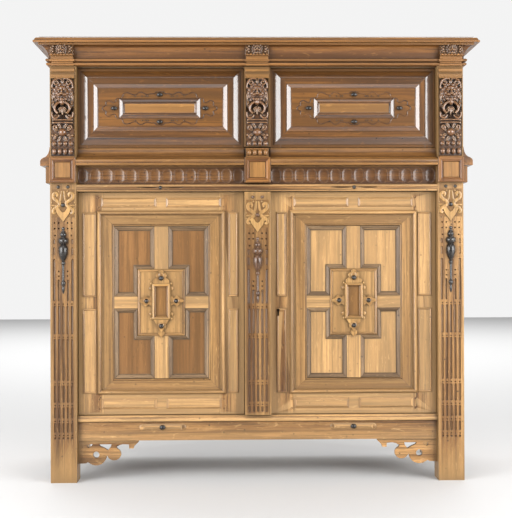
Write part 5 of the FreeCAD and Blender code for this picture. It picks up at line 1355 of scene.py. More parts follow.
def fluted_band():
    """Broad upright flutes with rounded heads on the board under the ledge."""
    wood = Wood(161)
    low_z, top = low("fluted_frieze", 2), high("fluted_frieze", 2)
    front = low("fluted_frieze", 1)
    wood.board((-POST_IN, POST_IN), (front, high("fluted_frieze", 1)), (low_z, top), "X")
    cutters = bmesh.new()
    pitch = (POST_IN - CENTRE_HALF) / chosen().band_flutes
    for hand in HANDS:
        for number in range(chosen().band_flutes):
            x = hand * (CENTRE_HALF + (number + 0.5) * pitch)
            flute(cutters, x, front, low_z + BAND_FOOT_GAP, top - BAND_HEAD_GAP, BAND_FLUTE_HALF,
                  chosen().band_deep, steps=20)
    carve(wood, cutters, "X")
    wood.finish("fluted_band", "carcase", "upper_oak", "tablet_oak", ["fluted_frieze"])


# Section of the mid rail: out from its back and height above its foot or, with a minus, below its top
MID_RAIL_FOOT = ((0, 0), (39, 0), (41, 3), (41, 7), (43, 9))
MID_RAIL_HEAD = ((43, -10), (45, -8), (45, -3), (43, 0), (0, 0))
MID_RAIL_BACK = FACE + 43 * MM
MID_RAIL_MIDDLE = 15 * MM
DOOR_MIDDLE = 397 * MM
NICK = (43 * MM, 3.2 * MM, 7 * MM)
NICK_ASIDE = 54 * MM
NICK_FACE = 43 * MM
RAIL_BOSS = ((0, 0, 44, (7, 7, 7.5)),)
POST_STUDS = ((-19.5, 1208, 0, (7, 6, 7)), (19.5, 1208, 0, (7, 6, 7)))


def mid_rail_piece():
    """Rail over the lower doors, with a boss between two nicks over each door and studs at the posts."""
    low_z, top = low("mid_rail", 2), high("mid_rail", 2)
    profile = section(MID_RAIL_FOOT, low_z, 1) + section(MID_RAIL_HEAD, top, 1)
    wood = Wood(171)
    for hand in HANDS:
        wood.across(both(hand, POST_IN, 0), MID_RAIL_BACK, profile)
    bosses = Wood(172)
    cutters = bmesh.new()
    middle = low_z + MID_RAIL_MIDDLE
    for hand in HANDS:
        x = hand * DOOR_MIDDLE
        for aside in HANDS:
            slit(cutters, x + aside * NICK_ASIDE, MID_RAIL_BACK - NICK_FACE, middle, *NICK)
        bosses.balls(hand * POST_MIDDLE, FACE, 0, POST_STUDS)
        bosses.balls(x, MID_RAIL_BACK, middle, RAIL_BOSS, steps=18)
    carve(wood, cutters, "X")
    wood.finish("mid_rail_moulded", "carcase", "lower_oak", "lower_oak", ["mid_rail"])
    return bosses


# Section of the base rail between its foot and top: out from its face and height, in millimetres
BASE_RAIL_SECTION = ((0, 240), (2, 243), (8, 245), (10, 248), (10, 256), (7, 261), (7, 266))
BASE_RAIL_FACE = -0.266
BASE_RAIL_THICK = 43 * MM
BASE_RAIL_TOP_OUT = 4 * MM
BASE_TABLET_ASIDE = 393 * MM
BASE_TABLET_HEIGHT = 0.221
BASE_TABLET_HALF = 84 * MM
BASE_TABLET_HALF_HIGH = 13.5 * MM
BASE_TABLET_PROUD = 5 * MM
BASE_TABLET_LET_IN = 2 * MM
BEVEL_START = 1 * MM
BEVEL_SHARE = 0.6
BASE_TABLET_BOSS = ((0, 0, 5, (12.5, 8, 10.125)),)
BASE_TABLET_ENDS = ((-84, 0, 0, (12, 4, 13)), (84, 0, 0, (12, 4, 13)))


def base_tablet(wood, bosses, x):
    """A bevelled plate with an oval boss on it and a round end on either side."""
    face, z = BASE_RAIL_FACE, BASE_TABLET_HEIGHT
    high_half, front = BASE_TABLET_HALF_HIGH, face - BASE_TABLET_PROUD
    profile = [(0, face + BASE_TABLET_LET_IN), (0, face - BEVEL_START), (high_half * BEVEL_SHARE, front),
               (high_half, front), (high_half, face + BASE_TABLET_LET_IN)]
    wood.mitred(rectangle(x, z, BASE_TABLET_HALF, high_half), profile)
    bosses.balls(x, face, z, BASE_TABLET_BOSS, steps=18)
    wood.balls(x, face, z, BASE_TABLET_ENDS, along="X")


def base_rail_piece(bosses):
    """Rail under the lower doors with a moulded top and a shaped tablet at each side."""
    low_z, top = low("base_rail", 2), high("base_rail", 2)
    profile = [(-BASE_RAIL_THICK, low_z), (0, low_z), *section(BASE_RAIL_SECTION, 0, 1),
               (BASE_RAIL_TOP_OUT, top), (-BASE_RAIL_THICK, top)]
    wood = Wood(181)
    wood.across((-POST_IN, POST_IN), BASE_RAIL_FACE, profile)
    for hand in HANDS:
        base_tablet(wood, bosses, hand * BASE_TABLET_ASIDE)
    wood.finish("base_rail_moulded", "carcase", "lower_oak", "lower_oak", ["base_rail"])


def ebony_on_carcase(bosses):
    for hand in HANDS:
        pendant(bosses, hand * POST_MIDDLE, POST_SCROLL_TOP, POST_BOSS)
    bosses.finish("ebony_on_carcase", "carcase", "ebony", "ebony", ["ebony_drops_and_bosses"], soften=0)


# Outline of a bracket in the photo's pixels, across and down, and the pixel's size, middle line and floor
PHOTO_PIXEL = 4.1 * MM
PHOTO_MIDDLE = 257.6
PHOTO_FLOOR = 481.6
BRACKET_POST_SIDE = ((77.0, 441.0), (77.0, 464.2), (84.6, 463.8), (86.6, 462.8))
BRACKET_LOBE = ((95.0, 455.3), 10.7, 125, 5, 8, 10.8 / 10.7)
BRACKET_NICK = ((106.2, 456.4),)
BRACKET_SMALL_LOBE = ((112.9, 454.8), 7.0, 150, -60, 14, 6.2 / 7.0)
BRACKET_TIP = ((115.0, 447.8), (118.6, 445.6), (122.0, 444.8), (127.8, 445.2), (128.0, 449.2),
               (132.4, 449.2),
               (133.4, 446.4), (137.6, 442.6), (137.6, 441.0))
BRACKET_OPENINGS = (
    ((85.8, 444.6), (91.4, 444.6), (90.0, 446.6), (87.4, 448.4), (86.0, 447.6)),
    ((97.6, 444.8), (110.2, 444.8), (109.6, 447.4), (106.6, 450.8), (103.2, 448.6), (99.0, 446.8)),
)
BRACKET_EYE = ((95.0, 455.3), 3.2, 0, 336, 14)
BRACKET_BACK = -0.242
BRACKET_FRONT = -0.258
BRACKET_EDGE = 1.2 * MM


def spandrels():
    """Fretted brackets under the base rail beside the posts."""
    edge = [*BRACKET_POST_SIDE, *arc(*BRACKET_LOBE), *BRACKET_NICK, *arc(*BRACKET_SMALL_LOBE), *BRACKET_TIP]
    for side, hand in SIDES:
        loops = [[(hand * (PHOTO_MIDDLE - across) * PHOTO_PIXEL, (PHOTO_FLOOR - down) * PHOTO_PIXEL)
                  for across, down in loop] for loop in (edge, *BRACKET_OPENINGS, arc(*BRACKET_EYE))]
        wood = Wood(191 + hand)
        wood.add(flat_shape(loops, BRACKET_BACK, BRACKET_FRONT), "X", rounded=False)
        wood.finish(f"bracket_fretted_{side}", "carcase", "lower_oak", "lower_oak", [f"bracket_{side}"],
                    soften=BRACKET_EDGE)


# Lower doors: middle of the field, and its half width and half height
FIELD_HEIGHT = 0.734
FIELD_HALF = 239 * MM
FIELD_HALF_HIGH = 360 * MM
FREE_EDGE_GAP = 2 * MM
PEG_IN = 18 * MM
PEG_HEIGHTS = (22 * MM, 62 * MM)
PEG_DEPTH = 3 * MM
KEYHOLE_X = 0.085
KEYHOLE_HEIGHT = 0.700
KEYHOLE_RADIUS = 6 * MM
KEYHOLE_DEPTH = 60 * MM
KEYHOLE_SLOT_HEIGHT = 0.688
KEYHOLE_SLOT = (7 * MM, KEYHOLE_DEPTH, 24 * MM)
EDGE_CLEAR = 0.1 * MM


def keyhole(cutters):
    pit(cutters, KEYHOLE_X, DOOR_FACE, KEYHOLE_HEIGHT, KEYHOLE_RADIUS, KEYHOLE_DEPTH)
    place = Matrix.Translation((KEYHOLE_X, DOOR_FACE,
                                KEYHOLE_SLOT_HEIGHT)) @ Matrix.Diagonal((*KEYHOLE_SLOT, 1))
    bmesh.ops.create_cube(cutters, size=1.0, matrix=place)


def lower_door_frame(body, hand, x, z_ends):
    """Stiles and rails, with pegs let in at the joints and, on the right door, the keyhole."""
    low_z, top = z_ends
    y_ends = (DOOR_FACE, DOOR_BACK)
    near, far = spread(DOOR_MIDDLE, FIELD_HALF)
    free = CENTRE_HALF if hand > 0 else CENTRE_HALF + FREE_EDGE_GAP
    wood = Wood(201 + hand)
    for edge, inner in ((free, near), (HINGE_EDGE, far)):
        wood.board(both(hand, edge, inner), y_ends, z_ends)
    field_low, field_top = spread(FIELD_HEIGHT, FIELD_HALF_HIGH)
    rail_y = (DOOR_FACE + JOINT_GAP, DOOR_BACK)
    for rail_z in ((low_z, field_low), (field_top, top)):
        wood.board(both(hand, near + JOINT_GAP, far - JOINT_GAP), rail_y, rail_z, "X")
    cutters = bmesh.new()
    for peg_x in (near - PEG_IN, far + PEG_IN):
        for z in (*[low_z + up for up in PEG_HEIGHTS], *[top - down for down in PEG_HEIGHTS]):
            round_cutter(cutters, hand * peg_x, DOOR_FACE, z, chosen().peg_radius, PEG_DEPTH, segments=12)
    if hand > 0:
        keyhole(cutters)
    carve(wood, cutters)
    stile, rail = [], []
    for vert in wood.bm.verts:
        (stile if abs(vert.co.x - x) > FIELD_HALF - EDGE_CLEAR else rail).append(vert)
    wood.mark(stile, "Z")
    wood.mark(rail, "X")
    wood.finish(f"{body}_joined_frame", body, "lower_oak", "lower_oak", [f"{body}_frame"])


# Raised strips: sections in from the edge and out from the face, in millimetres
STRIP_SECTION = ((0, -2), (0, 1.5), (2, 4.5), (5, 5), (8, 3.5), (8, -2))
LEVEL_STRIP_SECTION = ((0, -2), (0, 1), (1, 1.4), (8, 4.5), (10, 4.5), (10, -2))
STRIP_INSET = 7.5 * MM
STRIP_FIELD_PROUD = 3.4 * MM
LEVEL_INSET = 9.5 * MM
LEVEL_FIELD_PROUD = 4.4 * MM
STRIP_LOW_Z = (0.359, 0.708)
STRIP_HIGH_Z = (0.757, 1.105)
HINGE_STRIP = (663.5 * MM, 18 * MM)
FREE_STRIP = (24 * MM, 66 * MM)
LEVEL_STRIP_Z = ((1.126, 1.166), (0.295, 0.338))
LEVEL_STRIP = (20 * MM, 247 * MM)


def raised_strip(wood, x_ends, z_ends, profile, inset, proud, along="Z"):
    """A low strip with a moulded edge all round."""
    wide, tall = [(ends[1] - ends[0]) / 2 for ends in (x_ends, z_ends)]
    wood.mitred(rectangle(sum(x_ends) / 2, sum(z_ends) / 2, wide, tall), section(profile, DOOR_FACE))
    wood.board((x_ends[0] + inset, x_ends[1] - inset), (DOOR_FACE - proud, DOOR_FACE + LET_IN),
               (z_ends[0] + inset, z_ends[1] - inset), along)


def upright_strip(wood, x_ends, z_ends):
    raised_strip(wood, x_ends, z_ends, STRIP_SECTION, STRIP_INSET, STRIP_FIELD_PROUD)


def door_strips(body, hand, x):
    """Raised strips on the stiles and rails; the keyhole is cut into one on the right door."""
    free = CENTRE_HALF if hand > 0 else CENTRE_HALF + FREE_EDGE_GAP
    strips = Wood(211 + hand)
    lock_strip = Wood(217) if hand > 0 else strips
    hinge_x = both(hand, HINGE_STRIP[0], HINGE_EDGE - HINGE_STRIP[1])
    free_x = both(hand, free + FREE_STRIP[0], free + FREE_STRIP[1])
    upright_strip(strips, hinge_x, STRIP_LOW_Z)
    upright_strip(strips, hinge_x, STRIP_HIGH_Z)
    upright_strip(strips, free_x, STRIP_HIGH_Z)
    upright_strip(lock_strip, free_x, STRIP_LOW_Z)
    for z_ends in LEVEL_STRIP_Z:
        for way in HANDS:
            x_ends = sorted(x + way * reach for reach in LEVEL_STRIP)
            raised_strip(strips, x_ends, z_ends, LEVEL_STRIP_SECTION, LEVEL_INSET, LEVEL_FIELD_PROUD, "X")
    if hand > 0:
        cutters = bmesh.new()
        keyhole(cutters)
        carve(lock_strip, cutters, "Z")
        lock_strip.finish(f"{body}_lock_strip", body, "lower_oak", "lower_oak")
    strips.finish(f"{body}_raised_strips", body, "lower_oak", "lower_oak")


# Mouldings round the field: in from their edge and out from the door's face, in millimetres
BOLECTION = ((0, -1), (0, 4), (3, 7), (6, 12), (9, 14), (13, 14), (16, 11), (19, 5), (21, -1))
BOLECTION_HALF = 264.6 * MM
BOLECTION_HALF_HIGH = 378.8 * MM
BORDER = ((0, -9), (0, -3), (8, -3), (9, 2.2), (47, 2.2), (48, -1), (49.5, 2), (52, 2.6), (54, 1), (54, -9))
BORDER_OVER = 9 * MM
GROUND = DOOR_FACE + 9 * MM
GROUND_THICK = 12 * MM
GROUND_HALF_WIDE = 194 * MM
GROUND_HALF_HIGH = 313.5 * MM
GROUND_JOINT = 0.2 * MM


def door_field(body, hand, x):
    """The bolection round the field, the flat border inside it and the two ground boards."""
    mould = Wood(221 + hand)
    mould.mitred(rectangle(x, FIELD_HEIGHT, BOLECTION_HALF, BOLECTION_HALF_HIGH),
                 section(BOLECTION, DOOR_FACE))
    mould.finish(f"{body}_bolection", body, "lower_oak", "lower_oak", [f"{body}_mouldings"])
    border = Wood(226 + hand)
    border.mitred(rectangle(x, FIELD_HEIGHT, FIELD_HALF + BORDER_OVER, FIELD_HALF_HIGH + BORDER_OVER),
                  section(BORDER, DOOR_FACE))
    border.finish(f"{body}_border", body, "lower_oak", "post_oak")
    panel = Wood(231 + hand)
    for x_ends in ((x - GROUND_HALF_WIDE, x - GROUND_JOINT), (x + GROUND_JOINT, x + GROUND_HALF_WIDE)):
        panel.board(x_ends, (GROUND, GROUND + GROUND_THICK), spread(FIELD_HEIGHT, GROUND_HALF_HIGH))
    panel.finish(f"{body}_field", body, "lower_oak", "red_oak" if hand < 0 else "lower_oak",
                 [f"{body}_panel"])


SQUARE_HALF = 97.6 * MM
SQUARE_HALF_HIGH = 137 * MM
SQUARE_SECTION = ((0, 4), (3, 7), (9, 8), (12, 5))
SQUARE_RIM = 12 * MM
PLATE_INSET = 2 * MM
SQUARE_PROUD = 5 * MM
BAR_HALF = 28.5 * MM
ARM_HALF = 24.5 * MM
CROSS_PROUD = 3 * MM
# Moulding round each quarter of the ground: in from its edge and out from the ground, in millimetres
QUARTER_SECTION = ((0, 0), (0, 8), (1.5, 11), (4, 12), (5, 11), (15, 5), (15.5, 2), (18, 2), (18, 0))


def cross_and_square(body, hand, x):
    """Cross strips with a moulded square plate over them."""
    z = FIELD_HEIGHT
    cross = Wood(241 + hand)
    y_ends = (DOOR_FACE - CROSS_PROUD, GROUND)
    for way in HANDS:
        cross.board(spread(x, BAR_HALF), y_ends,
                    sorted(z + way * reach for reach in (SQUARE_HALF_HIGH, GROUND_HALF_HIGH)))
        cross.board(sorted(x + way * reach for reach in (SQUARE_HALF, GROUND_HALF_WIDE)), y_ends,
                    spread(z, ARM_HALF), "X")
    cross.finish(f"{body}_cross_strips", body, "lower_oak", "lower_oak")
    plate = Wood(246 + hand)
    plate.board(spread(x, SQUARE_HALF - PLATE_INSET), (DOOR_FACE - SQUARE_PROUD, GROUND),
                spread(z, SQUARE_HALF_HIGH - PLATE_INSET))
    profile = [(0, GROUND), *section(SQUARE_SECTION, DOOR_FACE), (SQUARE_RIM, GROUND)]
    plate.mitred(rectangle(x, z, SQUARE_HALF, SQUARE_HALF_HIGH), profile)
    plate.finish(f"{body}_square_plate", body, "lower_oak", "post_oak")


def quarter_mouldings(body, hand, x):
    """A moulding round each of the four L-shaped grounds, with its inside on the left of the path."""
    wood = Wood(251 + hand)
    z = FIELD_HEIGHT
    for right in HANDS:
        for up in HANDS:
            x0, xs, x1 = [x + right * reach for reach in (BAR_HALF, SQUARE_HALF, GROUND_HALF_WIDE)]
            z0, zs, z1 = [z + up * reach for reach in (ARM_HALF, SQUARE_HALF_HIGH, GROUND_HALF_HIGH)]
            path = [(x0, z1), (x0, zs), (xs, zs), (xs, z0), (x1, z0), (x1, z1)]
            if right * up < 0:
                path.reverse()
            wood.mitred(path, section(QUARTER_SECTION, GROUND))
    # The mouldings take the greyish moulding oak, whose colour is partly a painted sheen.
    wood.finish(f"{body}_panel_mouldings", body, "lower_oak", "moulding_oak")


# Cartouche on the square: depths and sizes
CARTOUCHE_FACE = DOOR_FACE - 8 * MM
CARTOUCHE_HEIGHT = 0.738
CARTOUCHE_HALF = 37.3 * MM
CARTOUCHE_HALF_HIGH = 74 * MM
CARTOUCHE_SECTION = ((0, -1), (0, 8), (3, 13), (7, 16), (10, 15), (12, 10), (14.8, 8), (14.8, -1))
CARTOUCHE_PANEL = ((-24, 24), (-2, 1), (-60, 60))
# Right halves of the flat ornaments: across and height in millimetres, and how thick each stands
CARTOUCHE_CREST = ((0, 868), (7, 866), (11, 861), (10, 855), (16, 856), (22, 850), (23, 842), (18, 835),
                   (26, 832),
                   (33, 824), (34, 815), (30, 811), (0, 811))
CARTOUCHE_SHIELD = ((0, 612), (6, 618), (10, 626), (17, 628), (20, 636), (18, 644), (24, 650), (31, 664),
                    (0, 664))
CARTOUCHE_HEART = ((0, 588), (5, 596), (12, 602), (14, 611), (9, 618), (3, 616), (0, 612))
CARTOUCHE_HALVES = ((CARTOUCHE_CREST, 9), (CARTOUCHE_SHIELD, 9), (CARTOUCHE_HEART, 5))
SIDE_LEAF = ((35, 758), (44, 760), (50, 753), (56, 756), (64, 763), (72, 757), (78, 748), (88, 746),
             (94, 740),
             (88, 734), (78, 732), (72, 723), (64, 717), (56, 724), (50, 727), (44, 720), (35, 722))
SIDE_LEAF_PROUD = 6 * MM
CORNER_BEADS = ((42, 792, 0, (9, 5, 9)), (42, 686, 0, (9, 5, 9)), (40, 812, 0, (6, 5, 6)),
                (40, 668, 0, (6, 5, 6)))
BOSS_SEATS = ((0, 846, 9, (12, 3, 12)), (0, 640, 9, (12, 3, 12)), (-61, 740, 5, (13, 3, 12)),
              (61, 740, 5, (13, 3, 12)))
DOOR_BOSSES = ((0, 834, 10, (10, 11, 10)), (0, 637, 10, (10, 11, 10)), (-61, 740, 6, (9, 10, 10)),
               (61, 740, 6, (9, 10, 10)))
CARTOUCHE_EDGE = 0.7 * MM


def both_halves(points, x):
    """A closed outline from its right half, given from the middle line round to the middle line."""
    loop = placed(points, x, 0)
    return loop + placed([point for point in reversed(points) if point[0]], x, 0, -1)


def cartouche(body, hand, x):
    """The upright cartouche on the square, with its crest, hanging shield, side leaves and bosses."""
    face = CARTOUCHE_FACE
    wood = Wood(261 + hand)
    wood.mitred(rectangle(x, CARTOUCHE_HEIGHT, CARTOUCHE_HALF, CARTOUCHE_HALF_HIGH),
                section(CARTOUCHE_SECTION, face))
    sunk = Wood(281 + hand)
    sunk.block(x, face, CARTOUCHE_HEIGHT, CARTOUCHE_PANEL)
    sunk.finish(f"{body}_cartouche_panel", body, "lower_oak", "tablet_oak")
    for points, thick in CARTOUCHE_HALVES:
        wood.add(flat_shape([both_halves(points, x)], face + LET_IN, face - thick * MM))
    for way in HANDS:
        wood.add(flat_shape([placed(SIDE_LEAF, x, 0, way)], face + LET_IN, face - SIDE_LEAF_PROUD), "X")
        wood.balls(x, face, 0, CORNER_BEADS, way)
    wood.balls(x, face, 0, BOSS_SEATS)
    wood.finish(f"{body}_cartouche", body, "lower_oak", "scroll_oak", [f"{body}_cross"],
                soften=CARTOUCHE_EDGE)
    bosses = Wood(271 + hand)
    bosses.balls(x, face, 0, DOOR_BOSSES, steps=20)
    bosses.finish(f"{body}_ebony", body, "ebony", "ebony", [f"{body}_bosses"], soften=0)


def lower_door(side, hand):
    """Frame, raised strips, moulded field, cross, cartouche and ebony of one lower door."""
    body = f"lower_door_{side}"
    x = hand * DOOR_MIDDLE
    lower_door_frame(body, hand, x, (low(f"{body}_frame", 2), high(f"{body}_frame", 2)))
    for dress in (door_strips, door_field, cross_and_square, quarter_mouldings, cartouche):
        dress(body, hand, x)


# Upper doors: sections in from the panel's edge and out from the door's face, in millimetres
STILE_OVER = 30 * MM
PANEL_SLOPE = ((0, -1), (0, 2), (0.5, 2.5), (29, 12), (29.5, 13), (31, 13), (31, -1))
PANEL_STEP = ((31, -1), (31, 11), (54, 11), (54, -1))
PANEL_CUSHION = ((54, -1), (54, 12), (55, 13), (71, 19), (72, 21), (75, 21), (75, -1))
CUSHION_INSET = 74 * MM
CUSHION_PROUD = 20 * MM


def upper_door_joinery(body, hand):
    """Stiles and rails round the stepped cushion panel, all from the panel's place in the frame."""
    node, frame_node = f"{body}_raised_panel", f"{body}_frame"
    left, right = low(node, 0), high(node, 0)
    bottom, crown = low(node, 2), high(node, 2)
    z_ends = (low(frame_node, 2), high(frame_node, 2))
    wood = Wood(301 + hand)
    for x_ends in ((low(frame_node, 0), left + STILE_OVER), (right - STILE_OVER, high(frame_node, 0))):
        wood.board(x_ends, (DOOR_FACE, DOOR_BACK), z_ends)
    rail_x = (left + STILE_OVER + JOINT_GAP, right - STILE_OVER - JOINT_GAP)
    for rail_z in ((z_ends[0], bottom + STILE_OVER), (crown - STILE_OVER, z_ends[1])):
        wood.board(rail_x, (DOOR_FACE + JOINT_GAP, DOOR_BACK), rail_z, "X")
    wood.finish(f"{body}_joined_frame", body, "upper_oak", "door_oak", [frame_node])
    panel = Wood(311 + hand)
    outline = rectangle((left + right) / 2, (bottom + crown) / 2, (right - left) / 2, (crown - bottom) / 2)
    for profile in (PANEL_SLOPE, PANEL_STEP, PANEL_CUSHION):
        panel.mitred(outline, section(profile, DOOR_FACE))
    panel.board((left + CUSHION_INSET, right - CUSHION_INSET),
                (DOOR_FACE - CUSHION_PROUD, DOOR_FACE + LET_IN),
                (bottom + CUSHION_INSET, crown - CUSHION_INSET), "X")
    panel.finish(f"{body}_cushion_panel", body, "upper_oak", "door_oak", [node])


# Tablet on the cushion, in millimetres about its middle
TABLET_ASIDE = 400 * MM
TABLET_HEIGHT = 1.532
TABLET_GROUND = DOOR_FACE - 21 * MM
TABLET_HALF = 166 * MM
TABLET_HALF_HIGH = 41 * MM
TABLET_SECTION = ((0, -1), (0, 2), (1, 2.6), (14, 7), (15, 8), (18, 8), (20, 5), (23, 4), (23, -1))
TABLET_PLATE = ((-144, 144), (-4, 1), (-22, 22))
FRET = ((10, 70), (17, 66), (22, 58), (34, 62), (48, 56), (60, 58), (66, 64), (78, 68), (90, 64), (92, 56),
        (106, 54),
        (120, 60), (132, 66), (146, 64), (152, 56), (150, 48), (160, 44), (160, 38))
FRET_ENDS = ((0, 66), (0, 38))
CHEEK = ((160, 40), (172, 44), (182, 38), (178, 28), (188, 22), (198, 26), (206, 34), (220, 30), (224, 20),
         (216, 12),
         (228, 10))
CHEEK_TIP = (240, 0)
FRET_THICK = 2.0 * MM
TABLET_BOSSES = tuple((across, up, 4, (13, 9, 8.5)) for across,
                      up in ((187, 0), (-187, 0), (0, 56), (0, -56)))
PINS = tuple((across, up, 3, (2.4, 2.4, 2.4))
             for across in (56, 72, -56, -72, 100, -100, 48, -48) for up in (-50, 50))


def fret(wood, points, cyclic):
    """A thin raised line through front-view points."""
    level = TABLET_GROUND + LET_IN
    wood.add(strap([(x, z, level, 1.0) for x, z in points], FRET_THICK, 1.0, resolution=2, cyclic=cyclic),
             "X")


def framed_tablet(body, hand):
    """Tablet in a moulded frame, with thin frets round it, bosses and pins."""
    x, z, ground = hand * TABLET_ASIDE, TABLET_HEIGHT, TABLET_GROUND
    wood = Wood(321 + hand)
    wood.mitred(rectangle(x, z, TABLET_HALF, TABLET_HALF_HIGH), section(TABLET_SECTION, ground))
    plate = Wood(326 + hand)
    plate.block(x, ground, z, TABLET_PLATE, "X")
    plate.finish(f"{body}_tablet_plate", body, "upper_oak", "tablet_oak")
    loop = [FRET_ENDS[0], *FRET, FRET_ENDS[1], *[(-across, up) for across, up in reversed(FRET)]]
    for way in HANDS:
        fret(wood, placed([(across, way * up) for across, up in loop], x, z), cyclic=True)
    line = [*CHEEK, CHEEK_TIP, *[(across, -up) for across, up in reversed(CHEEK)]]
    for way in HANDS:
        fret(wood, placed(line, x, z, way), cyclic=False)
    wood.finish(f"{body}_framed_tablet", body, "upper_oak", "door_oak", [f"{body}_tablet"])
    bosses = Wood(331 + hand)
    bosses.balls(x, ground, z, TABLET_BOSSES, steps=20)
    bosses.balls(x, ground, z, PINS)
    bosses.finish(f"{body}_ebony", body, "ebony", "ebony", [f"{body}_bosses"], soften=0)


def upper_door(side, hand):
    """Joined door with a stepped cushion panel, a framed tablet, frets and ebony bosses."""
    body = f"upper_door_{side}"
    upper_door_joinery(body, hand)
    framed_tablet(body, hand)


RAIL_THICK = 34 * MM
SIDE_RAILS_Z = ((0.167, 0.300), (0.694, 0.774), (1.190, 1.370), (1.640, SLAB_LOW))
SIDE_PANELS_Z = ((0.300, 0.694), (0.774, 1.190), (1.370, 1.640))
SIDE_PANEL_THICK = 12 * MM
PANEL_TONGUE = 6 * MM
REAR_POST_WIDE = 70 * MM


def side_joinery():
    """Rails and sunk panels between the front and rear posts, and the rear posts."""
    for side, hand in SIDES:
        wood = Wood(351 + hand)
        for z_ends in SIDE_RAILS_Z:
            wood.board(both(hand, BODY_HALF, BODY_HALF - RAIL_THICK), (POST_BACK, REAR_POST_FRONT), z_ends,
                       "Y")
        wood.finish(f"side_rails_{side}_joined", "carcase", "upper_oak", "upper_oak", [f"side_rails_{side}"])
    panels = Wood(361)
    outer = high("side_panels", 0)
    for hand in HANDS:
        for z_low, z_high in SIDE_PANELS_Z:
            panels.board(both(hand, outer, outer - SIDE_PANEL_THICK),
                         (POST_BACK - PANEL_TONGUE, REAR_POST_FRONT + PANEL_TONGUE),
                         (z_low - PANEL_TONGUE, z_high + PANEL_TONGUE))
    panels.finish("side_panels_fielded", "carcase", "upper_oak", "upper_oak", ["side_panels"])
    rear = Wood(371)
    for hand in HANDS:
        rear.board(both(hand, BODY_HALF, BODY_HALF - REAR_POST_WIDE), (REAR_POST_FRONT, BACK), (0, SLAB_LOW))
    rear.finish("rear_posts_squared", "carcase", "lower_oak", "lower_oak", ["rear_posts"])


PLAIN = {
    "inner_upright": ("back_boards",),
    "inner_level": ("back_rails", "bottom_board", "middle_board", "lower_shelf", "top_rail", "waist_rail",
                    "door_stops"),
    "inner_deep": ("shelf_bearers",),
    "iron": ("pivot_sockets", "lock_case", "lock_bolt", "slide_bolt", "keeper_and_guides",
             "lower_door_left_pivots", "lower_door_right_pivots", "upper_door_left_pivots",
             "upper_door_right_pivots"),
}


def plain_nodes():
    """Hidden timber and ironwork keep the frame's own shapes and take a material."""
    for key, nodes in PLAIN.items():
        for name in nodes:
            piece = bpy.data.objects[name]
            piece.data.materials.clear()
            piece.data.materials.append(finishes()[key])


CAMERA_PLACE = (-0.084, -4.462, 0.895)
CAMERA_YAW = math.radians(-1.058)
CAMERA_PITCH = math.radians(0.224)
CAMERA_ROLL = math.radians(0.205)
CAMERA_LENS = 71.6
SENSOR_WIDTH = 36.0


def photo_camera():
    """The camera that was fitted to the photographed doors, posts and top."""
    data = bpy.data.cameras.new("photo camera")
    data.lens = CAMERA_LENS
    data.sensor_fit = "HORIZONTAL"
    data.sensor_width = SENSOR_WIDTH
    camera = in_scene("photo camera", data)
    turn = Matrix.Rotation(CAMERA_YAW, 4, "Z") @ Matrix.Rotation(math.pi / 2 + CAMERA_PITCH, 4, "X")
    camera.matrix_world = Matrix.Translation(CAMERA_PLACE) @ turn @ Matrix.Rotation(-CAMERA_ROLL, 4, "Z")
    bpy.context.scene.camera = camera


# Name, place, the point it is aimed at, width and height in metres, and power in watts
LAMPS = (
    ("left soft box", (-2.85, -2.9, 1.5), (-0.4, -0.3, 1.1), (2.4, 2.4), 212),
    ("right soft box", (2.85, -2.9, 1.5), (0.4, -0.3, 1.1), (2.4, 2.4), 205),
    ("left side", (-3.2, -0.9, 1.2), (0, -0.2, 1.0), (0.5, 2.2), 40),
    ("right side", (3.2, -0.9, 1.2), (0, -0.2, 1.0), (0.5, 2.2), 40),
    ("top soft box", (0, -3.6, 4.2), (0, -0.2, 0.9), (4.0, 2.6), 62),
    ("floor behind", (0, 6.0, 5.2), (0, 6.0, 0), (12.0, 7.0), 900),
)
FLOOR_HALF = 12.0
FLOOR_GREY = (0.54, 0.54, 0.54, 1)
FLOOR_ROUGHNESS = 0.85
SOFT_GREY = (0.80, 0.80, 0.80, 1)
SOFT_STRENGTH = 0.25


def lamp(name, place, aim, size, power):
    data = bpy.data.lights.new(name, "AREA")
    data.shape = "RECTANGLE"
    data.size, data.size_y = size
    data.energy = power
    made = in_scene(name, data)
    made.location = place
    made.rotation_euler = (Vector(aim) - Vector(place)).to_track_quat("-Z", "Y").to_euler()
    return made


def studio():
    """Pale floor, soft light from both sides and a plain bright backdrop."""
    bm = bmesh.new()
    bmesh.ops.create_grid(bm, x_segments=1, y_segments=1, size=FLOOR_HALF)
    floor = in_scene("floor", mesh_from_bmesh("floor", bm))
    material, _, shader = new_material("floor")
    shader.inputs["Base Color"].default_value = FLOOR_GREY
    shader.inputs["Roughness"].default_value = FLOOR_ROUGHNESS
    floor.data.materials.append(material)
    [lamp(*settings) for settings in LAMPS]
    backdrop()


